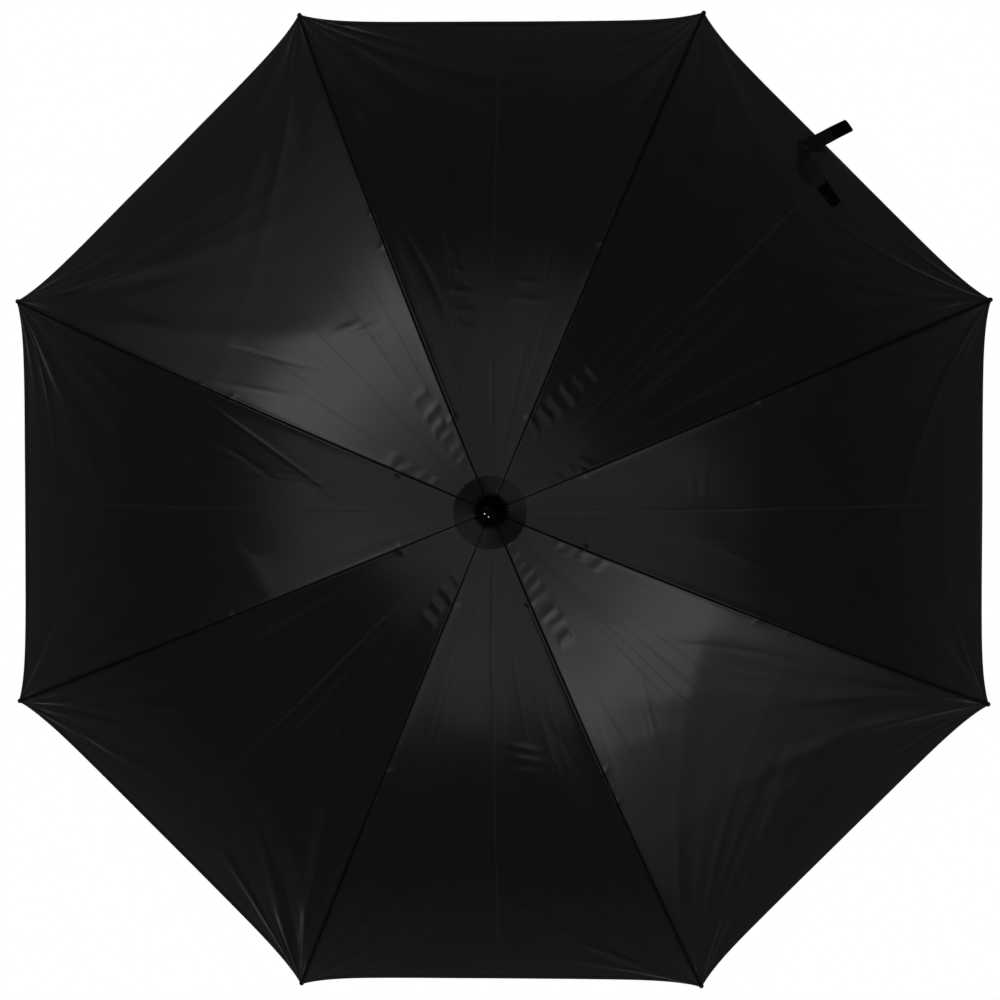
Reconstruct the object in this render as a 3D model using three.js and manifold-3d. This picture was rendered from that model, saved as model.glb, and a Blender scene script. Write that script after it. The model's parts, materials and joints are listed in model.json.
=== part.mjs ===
// Golf umbrella with eight ribs and a straight grip, standing open on the end of its grip.
// Millimetres, +Z up, origin at the centre of the end cap's flat bottom face.
//
// Each rib lives in a group turned about Z to its azimuth. In such a group x is the radial
// direction, y the tangential one and z is up, so a rib, its stretcher and its fittings are
// all drawn in the plane y = 0.

import * as THREE from 'three';
import * as BufferGeometryUtils from 'three/addons/utils/BufferGeometryUtils.js';
import Module from 'manifold-3d';

const wasm = await Module();
wasm.setup();

// ---------------------------------------------------------------- driving dimensions

const RIB_COUNT = 8;
const RIB_LENGTH = 738; // along the arc, from crown pivot to the rib's end
const RIB_BEND_RADIUS = 1053; // the bow that the tight canopy gives each rib
const CROWN_SLOPE = THREE.MathUtils.degToRad(8.5); // below horizontal, where a rib starts
const RIB_RADIUS = 1.8;
const JOINT_AT = 350; // arc length from crown pivot to rib joint
const JOINT_DROP = 5.6; // rib joint pin, below the rib's centreline

const CROWN_Z = 950; // height of the ribs' crown pivots
const PIVOT_RADIUS = 11.5; // from the shaft's axis to the crown and runner pivots

const SHAFT_RADIUS = 7;
const SHAFT_WALL = 1;
const GRIP_TOP = 196;
const END_CAP_HEIGHT = 12;
const TOP_CAP_HEIGHT = 30; // above the crown pivots

const RUNNER_BELOW_PIVOT = 62; // length of the runner under its stretcher pivots
const STRAP_WIDTH = 18;

const GAP = 0.3; // clearance between neighbouring pieces
const CLOTH = 0.7; // thickness of the canopy cloth, with its coating and hems
const CLOTH_OFFSET = 3.9; // cloth's underside, above a rib's centreline

// ---------------------------------------------------------------- derived dimensions

const RIB_PITCH = (2 * Math.PI) / RIB_COUNT;
const HALF_GORE = RIB_PITCH / 2;
const FIRST_RIB = RIB_PITCH / 2; // azimuth of rib 1, so that gores face the four sides
const WIRE_RADIUS = 0.6;
const EYE_RADIUS = 2.1; // rounded end of a rib or stretcher blade
const BLADE = 2.2; // thickness of the blades at crown and runner
const BLADE_LENGTH = 10;
const BLADE_SLOT = BLADE + 2 * GAP;
const WIRE_HOLE_RADIUS = 0.98;
const PIN_RADIUS = 0.8;
const PIN_HOLE_RADIUS = 1.2;
const SLEEVE_BORE = SHAFT_RADIUS + GAP + 0.1; // radius of every bore that the shaft goes through

// A point of the rib's bow, at arc length s from the crown pivot and lifted off it by offset.
function bow(s, offset = 0) {
  const slope = CROWN_SLOPE + s / RIB_BEND_RADIUS;
  const run = Math.sin(slope) - Math.sin(CROWN_SLOPE);
  const fall = Math.cos(CROWN_SLOPE) - Math.cos(slope);
  return {
    slope,
    radius: PIVOT_RADIUS + RIB_BEND_RADIUS * run + offset * Math.sin(slope),
    z: CROWN_Z - RIB_BEND_RADIUS * fall + offset * Math.cos(slope),
  };
}

// The same bow by radius: the height of a surface that lies offset above the ribs.
function heightOverRibs(radius, offset) {
  const slope = Math.asin(Math.sin(CROWN_SLOPE) + (radius - PIVOT_RADIUS) / RIB_BEND_RADIUS);
  return bow((slope - CROWN_SLOPE) * RIB_BEND_RADIUS).z + offset / Math.cos(slope);
}

// The stretcher is as long as the distance from crown pivot to rib joint, so the runner pivot
// is the crown pivot mirrored in the rib joint's height, at every angle of the fold.
const jointPin = bow(JOINT_AT, -JOINT_DROP);
const jointRun = jointPin.radius - PIVOT_RADIUS;
const jointFall = CROWN_Z - jointPin.z;
const STRETCHER_LENGTH = Math.hypot(jointRun, jointFall);
const STRETCHER_SLOPE = Math.atan2(jointFall, jointRun);
const RUNNER_Z = CROWN_Z - 2 * jointFall;
const FOLD_ANGLE = THREE.MathUtils.degToRad(60); // a rib's swing from open to closed
const RUNNER_Z_CLOSED = CROWN_Z - 2 * STRETCHER_LENGTH * Math.sin(STRETCHER_SLOPE + FOLD_ANGLE);

// ---------------------------------------------------------------- materials

function finish(color, roughness, metalness) {
  return new THREE.MeshStandardMaterial({ color, roughness, metalness });
}

const satinCloth = finish(0x15161a, 0.45, 0);
const dullCloth = finish(0x0e0f11, 0.8, 0);
const glossPlastic = finish(0x060607, 0.2, 0);
const mouldedPlastic = finish(0x101012, 0.45, 0);
const blackSteel = finish(0x121316, 0.4, 0.6);
const brightSteel = finish(0xb8bcc2, 0.3, 1);
const glassFibre = finish(0x0b0b0c, 0.35, 0);
const foamRubber = finish(0x141414, 0.9, 0);

// ---------------------------------------------------------------- solids and scene helpers

function toSolid(geometry) {
  const bare = geometry.clone();
  bare.deleteAttribute('normal');
  bare.deleteAttribute('uv');
  const merged = BufferGeometryUtils.mergeVertices(bare, 1e-4);
  return new wasm.Manifold(
    new wasm.Mesh({
      numProp: 3,
      vertProperties: new Float32Array(merged.attributes.position.array),
      triVerts: new Uint32Array(merged.index.array),
    }),
  );
}

function toGeometry(solid) {
  const mesh = solid.getMesh();
  const geometry = new THREE.BufferGeometry();
  geometry.setAttribute('position', new THREE.BufferAttribute(mesh.vertProperties, 3));
  geometry.setIndex(new THREE.BufferAttribute(mesh.triVerts, 1));
  geometry.computeVertexNormals();
  return geometry;
}

function join(...geometries) {
  return toGeometry(geometries.map(toSolid).reduce((whole, piece) => whole.add(piece)));
}

function cut(geometry, ...tools) {
  return toGeometry(tools.map(toSolid).reduce((rest, tool) => rest.subtract(tool), toSolid(geometry)));
}

// Revolves a profile of [radius, height] points about Z. The profile runs anticlockwise.
function revolve(profile, segments) {
  const points = profile.map(([radius, height]) => new THREE.Vector2(radius, height));
  return new THREE.LatheGeometry(points, segments).rotateX(Math.PI / 2);
}

// Revolves a closed profile, such as that of a ring or a tube.
function revolveRing(profile, segments) {
  return revolve([...profile, profile[0]], segments);
}

// A flat plate in the plane y = 0, from a shape whose x and y become x and z.
function plate(shape, thickness, curveSegments = 4) {
  const options = { depth: thickness, bevelEnabled: false, curveSegments };
  return new THREE.ExtrudeGeometry(shape, options)
    .rotateX(Math.PI / 2)
    .translate(0, thickness / 2, 0);
}

// A box between a low and a high value on each axis.
function block(...ranges) {
  const sizes = ranges.map(([low, high]) => high - low);
  const middles = ranges.map(([low, high]) => (low + high) / 2);
  return new THREE.BoxGeometry(...sizes).translate(...middles);
}

// A blade with a rounded eye at x = 0 and a hole through it, reaching to x = length.
function eyeBlade(length, halfHeight, holeRadius) {
  const shape = new THREE.Shape();
  const side = Math.asin(halfHeight / EYE_RADIUS);
  shape.moveTo(length, -halfHeight);
  shape.lineTo(length, halfHeight);
  shape.absarc(0, 0, EYE_RADIUS, side, 2 * Math.PI - side, false);
  shape.closePath();
  shape.holes.push(new THREE.Path().absarc(0, 0, holeRadius, 0, 2 * Math.PI, true));
  return shape;
}

// Bends a subdivided box: place(u, v, w) gives a point, with u, v and w from 0 to 1.
function bentBox(uSteps, vSteps, place) {
  const geometry = new THREE.BoxGeometry(1, 1, 1, uSteps, vSteps, 1);
  const position = geometry.attributes.position;
  for (let i = 0; i < position.count; i += 1) {
    const p = place(position.getX(i) + 0.5, position.getY(i) + 0.5, position.getZ(i) + 0.5);
    position.setXYZ(i, p.x, p.y, p.z);
  }
  return geometry;
}

// A half turned over by a mirror has its faces inside out, so each triangle is turned back.
function mirrorY(geometry) {
  const mirrored = geometry.clone().scale(1, -1, 1);
  const index = mirrored.index;
  for (let i = 0; i < index.count; i += 3) {
    const first = index.getX(i);
    index.setX(i, index.getX(i + 1));
    index.setX(i + 1, first);
  }
  mirrored.computeVertexNormals();
  return mirrored;
}

function addPart(parent, name, geometry, material) {
  const mesh = new THREE.Mesh(geometry, material);
  mesh.name = name;
  parent.add(mesh);
  return mesh;
}

// ---------------------------------------------------------------- ribs and their fittings

class RibPath extends THREE.Curve {
  constructor(from, to) {
    super();
    this.from = from;
    this.to = to;
  }

  getPoint(t, target = new THREE.Vector3()) {
    const p = bow(this.from + t * (this.to - this.from));
    return target.set(p.radius, 0, p.z);
  }
}

function circle(radius) {
  return new THREE.Shape().absarc(0, 0, radius, 0, 2 * Math.PI, false);
}

// A round rod with a flat eye at the crown, threaded on the crown wire.
function ribGeometry() {
  const bowSteps = 14;
  const rod = new THREE.ExtrudeGeometry(circle(RIB_RADIUS), {
    steps: bowSteps,
    bevelEnabled: false,
    curveSegments: 3,
    extrudePath: new RibPath(BLADE_LENGTH, RIB_LENGTH),
  });
  const bladeIntoRod = 2;
  const blade = plate(eyeBlade(BLADE_LENGTH + bladeIntoRod, 1.5, WIRE_HOLE_RADIUS), BLADE)
    .rotateY(CROWN_SLOPE)
    .translate(PIVOT_RADIUS, 0, CROWN_Z);
  return join(rod, blade);
}

// A sleeve round the rib, and two cheeks under it that carry the stretcher's pin.
function ribJointGeometry() {
  const sleeveLength = 14;
  const sleeveOuter = 3.1;
  const cheekInner = 1.5;
  const cheekOuter = 2.7;
  const cheekTop = -1.95;
  const cheekRadius = 2.2;

  const ring = circle(sleeveOuter);
  ring.holes.push(new THREE.Path().absarc(0, 0, RIB_RADIUS + 0.5, 0, 2 * Math.PI, true));
  const sleeve = new THREE.ExtrudeGeometry(ring, {
    depth: sleeveLength,
    bevelEnabled: false,
    curveSegments: 4,
  })
    .translate(0, 0, -sleeveLength / 2)
    .rotateY(Math.PI / 2);

  const cheekShape = new THREE.Shape();
  cheekShape.moveTo(cheekRadius, cheekTop);
  cheekShape.lineTo(-cheekRadius, cheekTop);
  cheekShape.absarc(0, -JOINT_DROP, cheekRadius, Math.PI, 2 * Math.PI, false);
  cheekShape.closePath();
  const cheek = plate(cheekShape, cheekOuter - cheekInner);
  const cheekMiddle = (cheekInner + cheekOuter) / 2;

  const pinLength = cheekInner + cheekOuter; // each end is halfway into its cheek
  const pin = new THREE.CylinderGeometry(PIN_RADIUS, PIN_RADIUS, pinLength, 8)
    .translate(0, 0, -JOINT_DROP);
  return join(
    sleeve,
    cheek.clone().translate(0, cheekMiddle, 0),
    cheek.clone().translate(0, -cheekMiddle, 0),
    pin,
  );
}

// A socket over the rib's end, closed by a small ball.
function ribTipGeometry() {
  const socketRadius = RIB_RADIUS + 0.4;
  const socketDepth = 9;
  const ballRadius = 3.1;
  const ballCentre = 3.4;
  const neck = 0.9; // angle from the ball's equator back to its neck
  const profile = [
    [0, GAP],
    [socketRadius, GAP],
    [socketRadius, -socketDepth],
    [socketRadius + 0.7, -socketDepth],
    [socketRadius + 0.9, -socketDepth + 1],
    [socketRadius + 0.5, 0],
  ];
  const ballSteps = 4;
  for (let i = 0; i <= ballSteps; i += 1) {
    const angle = -neck + (i / ballSteps) * (neck + Math.PI / 2);
    profile.push([ballRadius * Math.cos(angle), ballCentre + ballRadius * Math.sin(angle)]);
  }
  profile[profile.length - 1][0] = 0;
  return revolve(profile, 8).rotateY(Math.PI / 2);
}

// A folded channel, open towards the rib, with a flat blade at each end.
// It is drawn along +x from the rib joint pin to the runner pivot.
function stretcherGeometry() {
  const width = 3.2;
  const height = 3.4;
  const wall = 0.7;
  const jointBlade = 2.4;
  const channelFrom = 4.8;
  const channelTo = STRETCHER_LENGTH - BLADE_LENGTH;
  const overlap = 2;
  const halfBladeHeight = 1.4;

  const channel = cut(
    block([channelFrom, channelTo], [-width / 2, width / 2], [-height / 2, height / 2]),
    block(
      [channelFrom + overlap + 1, channelTo - overlap - 1],
      [-width / 2 + wall, width / 2 - wall],
      [-height, height / 2 - wall],
    ),
  );
  const ribEnd = plate(eyeBlade(channelFrom + overlap, halfBladeHeight, PIN_HOLE_RADIUS), jointBlade);
  const runnerEnd = plate(eyeBlade(BLADE_LENGTH + overlap, halfBladeHeight, WIRE_HOLE_RADIUS), BLADE)
    .rotateY(Math.PI)
    .translate(STRETCHER_LENGTH, 0, 0);
  return join(channel, ribEnd, runnerEnd);
}

// ---------------------------------------------------------------- canopy

const CLOTH_FROM = 1.2; // arc length where the cloth starts, just outside the crown pivots
const CLOTH_TO = RIB_LENGTH - 1;
const HEM_RISE = 20; // how far the hem is drawn in at the middle of a gore
const HEM_CORNER = 8; // how sharply the hem turns in from a rib's end
const CLOTH_SAG = 4; // how far the cloth is pulled in between the ribs

// The end of the cloth along the bow, at a fraction of the way from a rib to the crease.
function hemAt(across) {
  return CLOTH_TO - HEM_RISE * (1 - Math.exp(-HEM_CORNER * across));
}

// A point of a half gore, in the group of the rib it is sewn to. along and across run from
// 0 to 1, from crown to hem and from rib to crease, and lift is above the cloth's underside.
function clothPoint(along, across, lift) {
  const s = CLOTH_FROM + along * (hemAt(across) - CLOTH_FROM);
  const rib = bow(s, 0);
  const halfWidth = rib.radius * Math.sin(HALF_GORE);
  const seam = 0.2; // half of the gap at seam and crease
  const fromRib = seam + across * (halfWidth - 2 * seam);
  const round = 1 - (1 - across) ** 2;
  const sag = CLOTH_SAG * Math.sin(Math.PI * along) * round;
  const reach = CLOTH_OFFSET + lift - sag;
  const turn = HALF_GORE * across;
  const normal = new THREE.Vector3(
    Math.sin(rib.slope) * Math.cos(turn),
    Math.sin(rib.slope) * Math.sin(turn),
    Math.cos(rib.slope),
  );
  return new THREE.Vector3(
    rib.radius - fromRib * Math.sin(HALF_GORE),
    fromRib * Math.cos(HALF_GORE),
    rib.z,
  ).addScaledVector(normal, reach);
}

function halfGoreGeometry() {
  const alongSteps = 12;
  const acrossSteps = 3;
  const place = (u, v, w) => clothPoint(u, v * v, w * CLOTH);
  return bentBox(alongSteps, acrossSteps, place);
}

// A round cloth washer over the crown of the canopy.
function rosetteGeometry() {
  const inner = SHAFT_RADIUS + 0.5;
  const outer = 39.5;
  const thickness = 0.6;
  const under = CLOTH_OFFSET + CLOTH + 0.35;
  const steps = 2;
  const radii = Array.from({ length: steps + 1 }, (_, i) => inner + (i / steps) * (outer - inner));
  const bottom = radii.map((r) => [r, heightOverRibs(r, under)]);
  const top = radii.map((r) => [r, heightOverRibs(r, under + thickness)]).reverse();
  return revolveRing([...bottom, ...top], 24);
}

// A band with hook-and-loop ends. It is drawn in a group turned to the middle of its gore,
// with x towards the hem. Both arms start where the band is sewn to the cloth.
const STRAP_SEWN = { x: 566, y: 43 };
const STRAP_THICKNESS = 1;
const STRAP_LEAN = new THREE.Vector3(Math.SQRT1_2, 0, Math.SQRT1_2); // off the sloping cloth

// A bent ribbon through points given by x, y and rise, the height above the cloth.
function strapArm(points, steps) {
  const path = new THREE.CatmullRomCurve3(points.map(({ x, y, rise }) => {
    const surface = heightOverRibs(x / Math.cos(HALF_GORE), CLOTH_OFFSET + CLOTH);
    return new THREE.Vector3(x, y, surface + rise);
  }));
  return bentBox(steps, 1, (u, v, w) => {
    const tangent = path.getTangent(u);
    const side = new THREE.Vector3().crossVectors(STRAP_LEAN, tangent).normalize();
    const up = new THREE.Vector3().crossVectors(tangent, side);
    return path.getPoint(u)
      .addScaledVector(side, (v - 0.5) * STRAP_WIDTH)
      .addScaledVector(up, w * STRAP_THICKNESS);
  });
}

function strapGeometry() {
  const clear = 1.2;
  const { x, y } = STRAP_SEWN;
  const outwards = strapArm(
    [
      { x: x - 6, y: y + 2, rise: clear },
      { x: x + 20, y: y - 6, rise: clear + 14 },
      { x: x + 40, y: y - 12, rise: clear + 28 },
      { x: x + 60, y: y - 19, rise: clear + 42 },
    ],
    5,
  );
  const alongHem = strapArm(
    [
      { x, y: y + 6, rise: clear },
      { x: x - 13, y: y - 10, rise: clear + 11 },
      { x: x - 21, y: y - 38, rise: clear + 12 },
      { x: x - 27, y: y - 70, rise: clear + 4 },
    ],
    7,
  );
  return join(outwards, alongHem);
}

// ---------------------------------------------------------------- shaft, crown and runner

const ROUND = 20; // sides of the shaft and of what slides or sits on it
const SLOT_INNER = 9; // radius where the slots for rib and stretcher blades start
const FLANGE_RADIUS = 15;
const GROOVE = { inner: PIVOT_RADIUS - 1, outer: PIVOT_RADIUS + 1, floor: -1 }; // for a wire

// Slots for the blades of all ribs or stretchers, between two heights.
function bladeSlots(low, high) {
  return Array.from({ length: RIB_COUNT }, (_, k) => (
    block([SLOT_INNER, FLANGE_RADIUS + 1], [-BLADE_SLOT / 2, BLADE_SLOT / 2], [low, high])
      .rotateZ(FIRST_RIB + k * RIB_PITCH)
  ));
}

function wireGeometry() {
  return new THREE.TorusGeometry(PIVOT_RADIUS, WIRE_RADIUS, 5, 24);
}

// A slotted ring on the shaft's top, with a groove for the crown wire, drawn about the pivots.
function crownNotchGeometry() {
  const inner = SLEEVE_BORE;
  const ring = revolveRing(
    [
      [inner, -9],
      [SLOT_INNER, -9],
      [SLOT_INNER + 1, -5],
      [FLANGE_RADIUS, -5],
      [FLANGE_RADIUS, 2.6],
      [GROOVE.outer, 2.6],
      [GROOVE.outer, GROOVE.floor],
      [GROOVE.inner, GROOVE.floor],
      [GROOVE.inner, 2.6],
      [SLOT_INNER, 2.6],
      [SLOT_INNER - 0.4, 5],
      [inner, 5],
    ],
    ROUND,
  );
  return cut(ring, ...bladeSlots(-10, 6));
}

const CATCH = {
  width: 3,
  height: 26,
  reach: 10.6, // from the shaft's axis to the shoulder's corner
  play: 1.6, // between the shoulder and the runner it holds
};

// A sleeve on the shaft, with a slotted flange for the stretchers, a window for the bottom
// catch, and a lip at its lower end. It is drawn about the stretcher pivots.
const WINDOW = { low: -50, high: -19, width: 5 };

function runnerGeometry() {
  const inner = SLEEVE_BORE;
  const barrel = 10.2;
  const lip = 11.4;
  const ring = revolveRing(
    [
      [inner, -RUNNER_BELOW_PIVOT],
      [lip - 0.8, -RUNNER_BELOW_PIVOT],
      [lip, -RUNNER_BELOW_PIVOT + 0.8],
      [lip, -RUNNER_BELOW_PIVOT + 7],
      [barrel, -RUNNER_BELOW_PIVOT + 9],
      [barrel, -9],
      [FLANGE_RADIUS, -5],
      [FLANGE_RADIUS, 3],
      [GROOVE.outer, 3],
      [GROOVE.outer, GROOVE.floor],
      [GROOVE.inner, GROOVE.floor],
      [GROOVE.inner, 3],
      [inner, 3],
    ],
    ROUND,
  );
  const window = block([4, 14], [-WINDOW.width / 2, WINDOW.width / 2], [WINDOW.low, WINDOW.high])
    .rotateZ(-Math.PI / 2);
  return cut(ring, window, ...bladeSlots(-2.9, 4));
}

// A wedge pivoted inside the shaft at its lower end, with its shoulder at the top.
function catchGeometry() {
  const shape = new THREE.Shape();
  shape.moveTo(1.8, 0);
  shape.lineTo(5, 0);
  shape.lineTo(5.3, 4.5);
  shape.lineTo(CATCH.reach, CATCH.height - 3);
  shape.lineTo(CATCH.reach, CATCH.height);
  shape.lineTo(4.2, CATCH.height);
  shape.closePath();
  return plate(shape, CATCH.width);
}

const TOP_CATCH_Z = RUNNER_Z - RUNNER_BELOW_PIVOT - CATCH.play - CATCH.height;
const BOTTOM_CATCH_Z = RUNNER_Z_CLOSED + (WINDOW.low + WINDOW.high) / 2 + CATCH.height / 2;

function shaftGeometry() {
  const outer = SHAFT_RADIUS;
  const inner = SHAFT_RADIUS - SHAFT_WALL;
  const bottom = END_CAP_HEIGHT + GAP;
  const top = CROWN_Z + 16;
  const tube = revolveRing([[inner, bottom], [outer, bottom], [outer, top], [inner, top]], ROUND);
  const halfSlot = CATCH.width / 2 + 0.4;
  const slotHeight = CATCH.height - 1.5;
  const slotMargin = 1; // beyond a catch's shoulder
  const lows = [
    TOP_CATCH_Z + CATCH.height + slotMargin - slotHeight,
    BOTTOM_CATCH_Z - CATCH.height - slotMargin,
  ];
  const openings = lows.map((low) => (
    block([SHAFT_RADIUS / 2, SHAFT_RADIUS + 2], [-halfSlot, halfSlot], [low, low + slotHeight])
      .rotateZ(-Math.PI / 2)
  ));
  return cut(tube, ...openings);
}

// A domed cap on the shaft's top, with a toothed skirt that presses on the rosette.
function topCapGeometry() {
  const dome = 16.8;
  const skirt = 20.2;
  const teeth = 28;
  const bore = SLEEVE_BORE;
  const boreTop = 16.6;
  const skirtLow = 5.3;
  const skirtHigh = 8.2;
  const wallTop = 11;

  const profile = [
    [0, boreTop],
    [bore, boreTop],
    [bore, 6.8],
    [dome, skirtLow],
    [dome, skirtHigh],
    [dome - 0.4, wallTop],
  ];
  const domeSteps = 6;
  for (let i = 1; i < domeSteps; i += 1) {
    const angle = (i / domeSteps) * (Math.PI / 2);
    const height = wallTop + (TOP_CAP_HEIGHT - wallTop) * Math.sin(angle);
    profile.push([(dome - 0.4) * Math.cos(angle), height]);
  }
  profile.push([0, TOP_CAP_HEIGHT]);

  const outline = Array.from({ length: 2 * teeth }, (_, i) => {
    const radius = i % 2 === 0 ? skirt : dome + 0.8;
    const angle = (i / (2 * teeth)) * 2 * Math.PI;
    return new THREE.Vector2(radius * Math.cos(angle), radius * Math.sin(angle));
  });
  const ring = new THREE.Shape(outline);
  ring.holes.push(new THREE.Path().absarc(0, 0, dome - 2, 0, 2 * Math.PI, true));
  const toothed = new THREE.ExtrudeGeometry(ring, {
    depth: skirtHigh - skirtLow,
    bevelEnabled: false,
    curveSegments: 12,
  }).translate(0, 0, skirtLow);
  return join(revolve(profile, ROUND), toothed);
}

// ---------------------------------------------------------------- grip

// A straight foam grip, fuller where the palm closes on it.
function gripGeometry() {
  const bore = SLEEVE_BORE;
  const bottom = END_CAP_HEIGHT + GAP;
  const length = GRIP_TOP - bottom;
  const endRadius = 14.2;
  const swell = 2.6;
  const edge = 2.2;
  const profile = [[bore, bottom], [endRadius - 0.6, bottom]];
  const steps = 9;
  for (let i = 0; i <= steps; i += 1) {
    const t = i / steps;
    const radius = endRadius + swell * Math.sin(Math.PI * t) * (1.2 - 0.5 * t);
    profile.push([radius, bottom + edge + t * (length - 2 * edge)]);
  }
  profile.push([endRadius - 1.8, GRIP_TOP], [bore, GRIP_TOP]);
  return revolveRing(profile, ROUND);
}

// A flat-bottomed plug that closes the grip, with a spigot in the shaft.
function endCapGeometry() {
  const radius = 14.6;
  const spigot = SHAFT_RADIUS - SHAFT_WALL - 0.45;
  return revolve(
    [
      [0, 0],
      [radius - 1.6, 0],
      [radius, 1.6],
      [radius, END_CAP_HEIGHT - 1],
      [radius - 0.8, END_CAP_HEIGHT],
      [spigot, END_CAP_HEIGHT],
      [spigot, END_CAP_HEIGHT + 26],
      [spigot - 1, END_CAP_HEIGHT + 28],
      [0, END_CAP_HEIGHT + 28],
    ],
    ROUND,
  );
}

// ---------------------------------------------------------------- assembly

const umbrella = new THREE.Group();

const rib = ribGeometry();
const ribJoint = ribJointGeometry();
const ribTip = ribTipGeometry();
const stretcher = stretcherGeometry();
const halfGore = halfGoreGeometry();
const halfGoreMirrored = mirrorY(halfGore);
const jointOnRib = bow(JOINT_AT);
const ribEnd = bow(RIB_LENGTH);

for (let k = 0; k < RIB_COUNT; k += 1) {
  const number = k + 1;
  const before = k === 0 ? RIB_COUNT : k; // the gore on the clockwise side of this rib
  const spoke = new THREE.Group();
  spoke.rotation.z = FIRST_RIB + k * RIB_PITCH;
  umbrella.add(spoke);

  addPart(spoke, `rib_${number}`, rib, glassFibre);

  const bracket = addPart(spoke, `rib_joint_${number}`, ribJoint, mouldedPlastic);
  bracket.position.set(jointOnRib.radius, 0, jointOnRib.z);
  bracket.rotation.y = jointOnRib.slope;

  const tip = addPart(spoke, `rib_tip_${number}`, ribTip, glossPlastic);
  tip.position.set(ribEnd.radius, 0, ribEnd.z);
  tip.rotation.y = ribEnd.slope;

  const strut = addPart(spoke, `stretcher_${number}`, stretcher, blackSteel);
  strut.position.set(jointPin.radius, 0, jointPin.z);
  strut.rotation.y = Math.PI - STRETCHER_SLOPE;

  addPart(spoke, `canopy_gore_${number}_first_half`, halfGore, satinCloth);
  addPart(spoke, `canopy_gore_${before}_second_half`, halfGoreMirrored, satinCloth);
}

const strapGore = new THREE.Group();
strapGore.rotation.z = FIRST_RIB + HALF_GORE;
addPart(strapGore, 'tie_strap', strapGeometry(), dullCloth);
umbrella.add(strapGore);

addPart(umbrella, 'shaft', shaftGeometry(), blackSteel);

const crown = new THREE.Group();
crown.position.z = CROWN_Z;
addPart(crown, 'crown_notch', crownNotchGeometry(), mouldedPlastic);
addPart(crown, 'crown_wire', wireGeometry(), brightSteel);
addPart(crown, 'top_cap', topCapGeometry(), glossPlastic);
umbrella.add(crown);

addPart(umbrella, 'outer_rosette', rosetteGeometry(), dullCloth);

const sliding = new THREE.Group();
sliding.position.z = RUNNER_Z;
addPart(sliding, 'runner', runnerGeometry(), mouldedPlastic);
addPart(sliding, 'runner_wire', wireGeometry(), brightSteel);
umbrella.add(sliding);

const catches = new THREE.Group();
catches.rotation.z = -Math.PI / 2;
umbrella.add(catches);
const topCatch = addPart(catches, 'top_catch', catchGeometry(), brightSteel);
topCatch.position.z = TOP_CATCH_Z;
const bottomCatch = addPart(catches, 'bottom_catch', catchGeometry().rotateX(Math.PI), brightSteel);
bottomCatch.position.z = BOTTOM_CATCH_Z;

addPart(umbrella, 'grip', gripGeometry(), foamRubber);
addPart(umbrella, 'end_cap', endCapGeometry(), mouldedPlastic);

export default umbrella;
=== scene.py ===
"""Looks of an open golf umbrella with a black satin canopy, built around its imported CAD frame.

Blender works in metres, in the frame's own axes. The shapes here are drawn in millimetres, because
that is how an umbrella is measured, and MM turns them into metres when a mesh is made.
"""

import json
import math

import bmesh
import bpy
import numpy as np
from mathutils import Matrix, Vector

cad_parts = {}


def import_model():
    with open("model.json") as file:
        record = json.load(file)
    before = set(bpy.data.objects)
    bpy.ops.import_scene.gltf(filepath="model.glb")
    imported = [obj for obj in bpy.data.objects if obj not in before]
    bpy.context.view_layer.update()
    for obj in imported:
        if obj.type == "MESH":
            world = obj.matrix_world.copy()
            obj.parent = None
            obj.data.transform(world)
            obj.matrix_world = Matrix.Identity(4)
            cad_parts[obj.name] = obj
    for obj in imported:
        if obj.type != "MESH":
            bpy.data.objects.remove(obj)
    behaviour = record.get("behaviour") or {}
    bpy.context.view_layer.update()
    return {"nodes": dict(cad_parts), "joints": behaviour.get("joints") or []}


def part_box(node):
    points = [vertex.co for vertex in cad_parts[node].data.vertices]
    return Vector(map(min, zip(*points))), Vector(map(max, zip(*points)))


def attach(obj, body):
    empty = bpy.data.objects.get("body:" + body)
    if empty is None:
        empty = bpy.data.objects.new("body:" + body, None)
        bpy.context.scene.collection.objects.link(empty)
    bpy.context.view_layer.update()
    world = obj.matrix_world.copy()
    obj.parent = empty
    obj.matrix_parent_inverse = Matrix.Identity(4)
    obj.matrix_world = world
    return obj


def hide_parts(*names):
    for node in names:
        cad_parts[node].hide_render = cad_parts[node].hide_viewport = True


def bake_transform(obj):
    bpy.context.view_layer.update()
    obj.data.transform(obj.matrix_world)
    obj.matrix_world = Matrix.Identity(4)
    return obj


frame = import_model()

MM = 0.001
RIB_COUNT = 8
RIB_PITCH = 2 * math.pi / RIB_COUNT
HALF_GORE = RIB_PITCH / 2

# ---------------- places, read from the frame

JOINTS = {j["name"]: j for j in frame["joints"]}


def joint_place(name):
    """A joint's (distance from the shaft's axis, height), in millimetres."""
    x, y, z = JOINTS[name]["pos_m"]
    return math.hypot(x, y) / MM, z / MM


def box_mm(node):
    low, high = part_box(node)
    return np.array(low) / MM, np.array(high) / MM


PIVOT_RADIUS, CROWN_Z = joint_place("fold")
RUNNER_Z = joint_place("runner_on_stretcher_1")[1]
SHAFT_RADIUS = (box_mm("shaft")[1] - box_mm("shaft")[0])[0] / 2
TOP = box_mm("top_cap")[1][2]

# The bow of a rib: the CAD's own arc, which starts at the crown pivot.
RIB_LENGTH = 738.0
BEND_RADIUS = 1053.0
CROWN_SLOPE = math.radians(8.5)
RIB_RADIUS = 1.8
JOINT_AT = 350.0
JOINT_DROP = 5.6

# The cloth: thin sheets that lie closer to the ribs than the CAD's solids.
CLOTH_FROM = 1.2
CLOTH_TO = RIB_LENGTH - 1
HEM_RISE = 20.0
CLOTH_SAG = 1.5
CLOTH_LIFT = 3.6
CLOTH_THICKNESS = 0.35
HEM_WIDTH = 9.0


def azimuth_of_rib(number):
    return HALF_GORE + (number - 1) * RIB_PITCH


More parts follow.
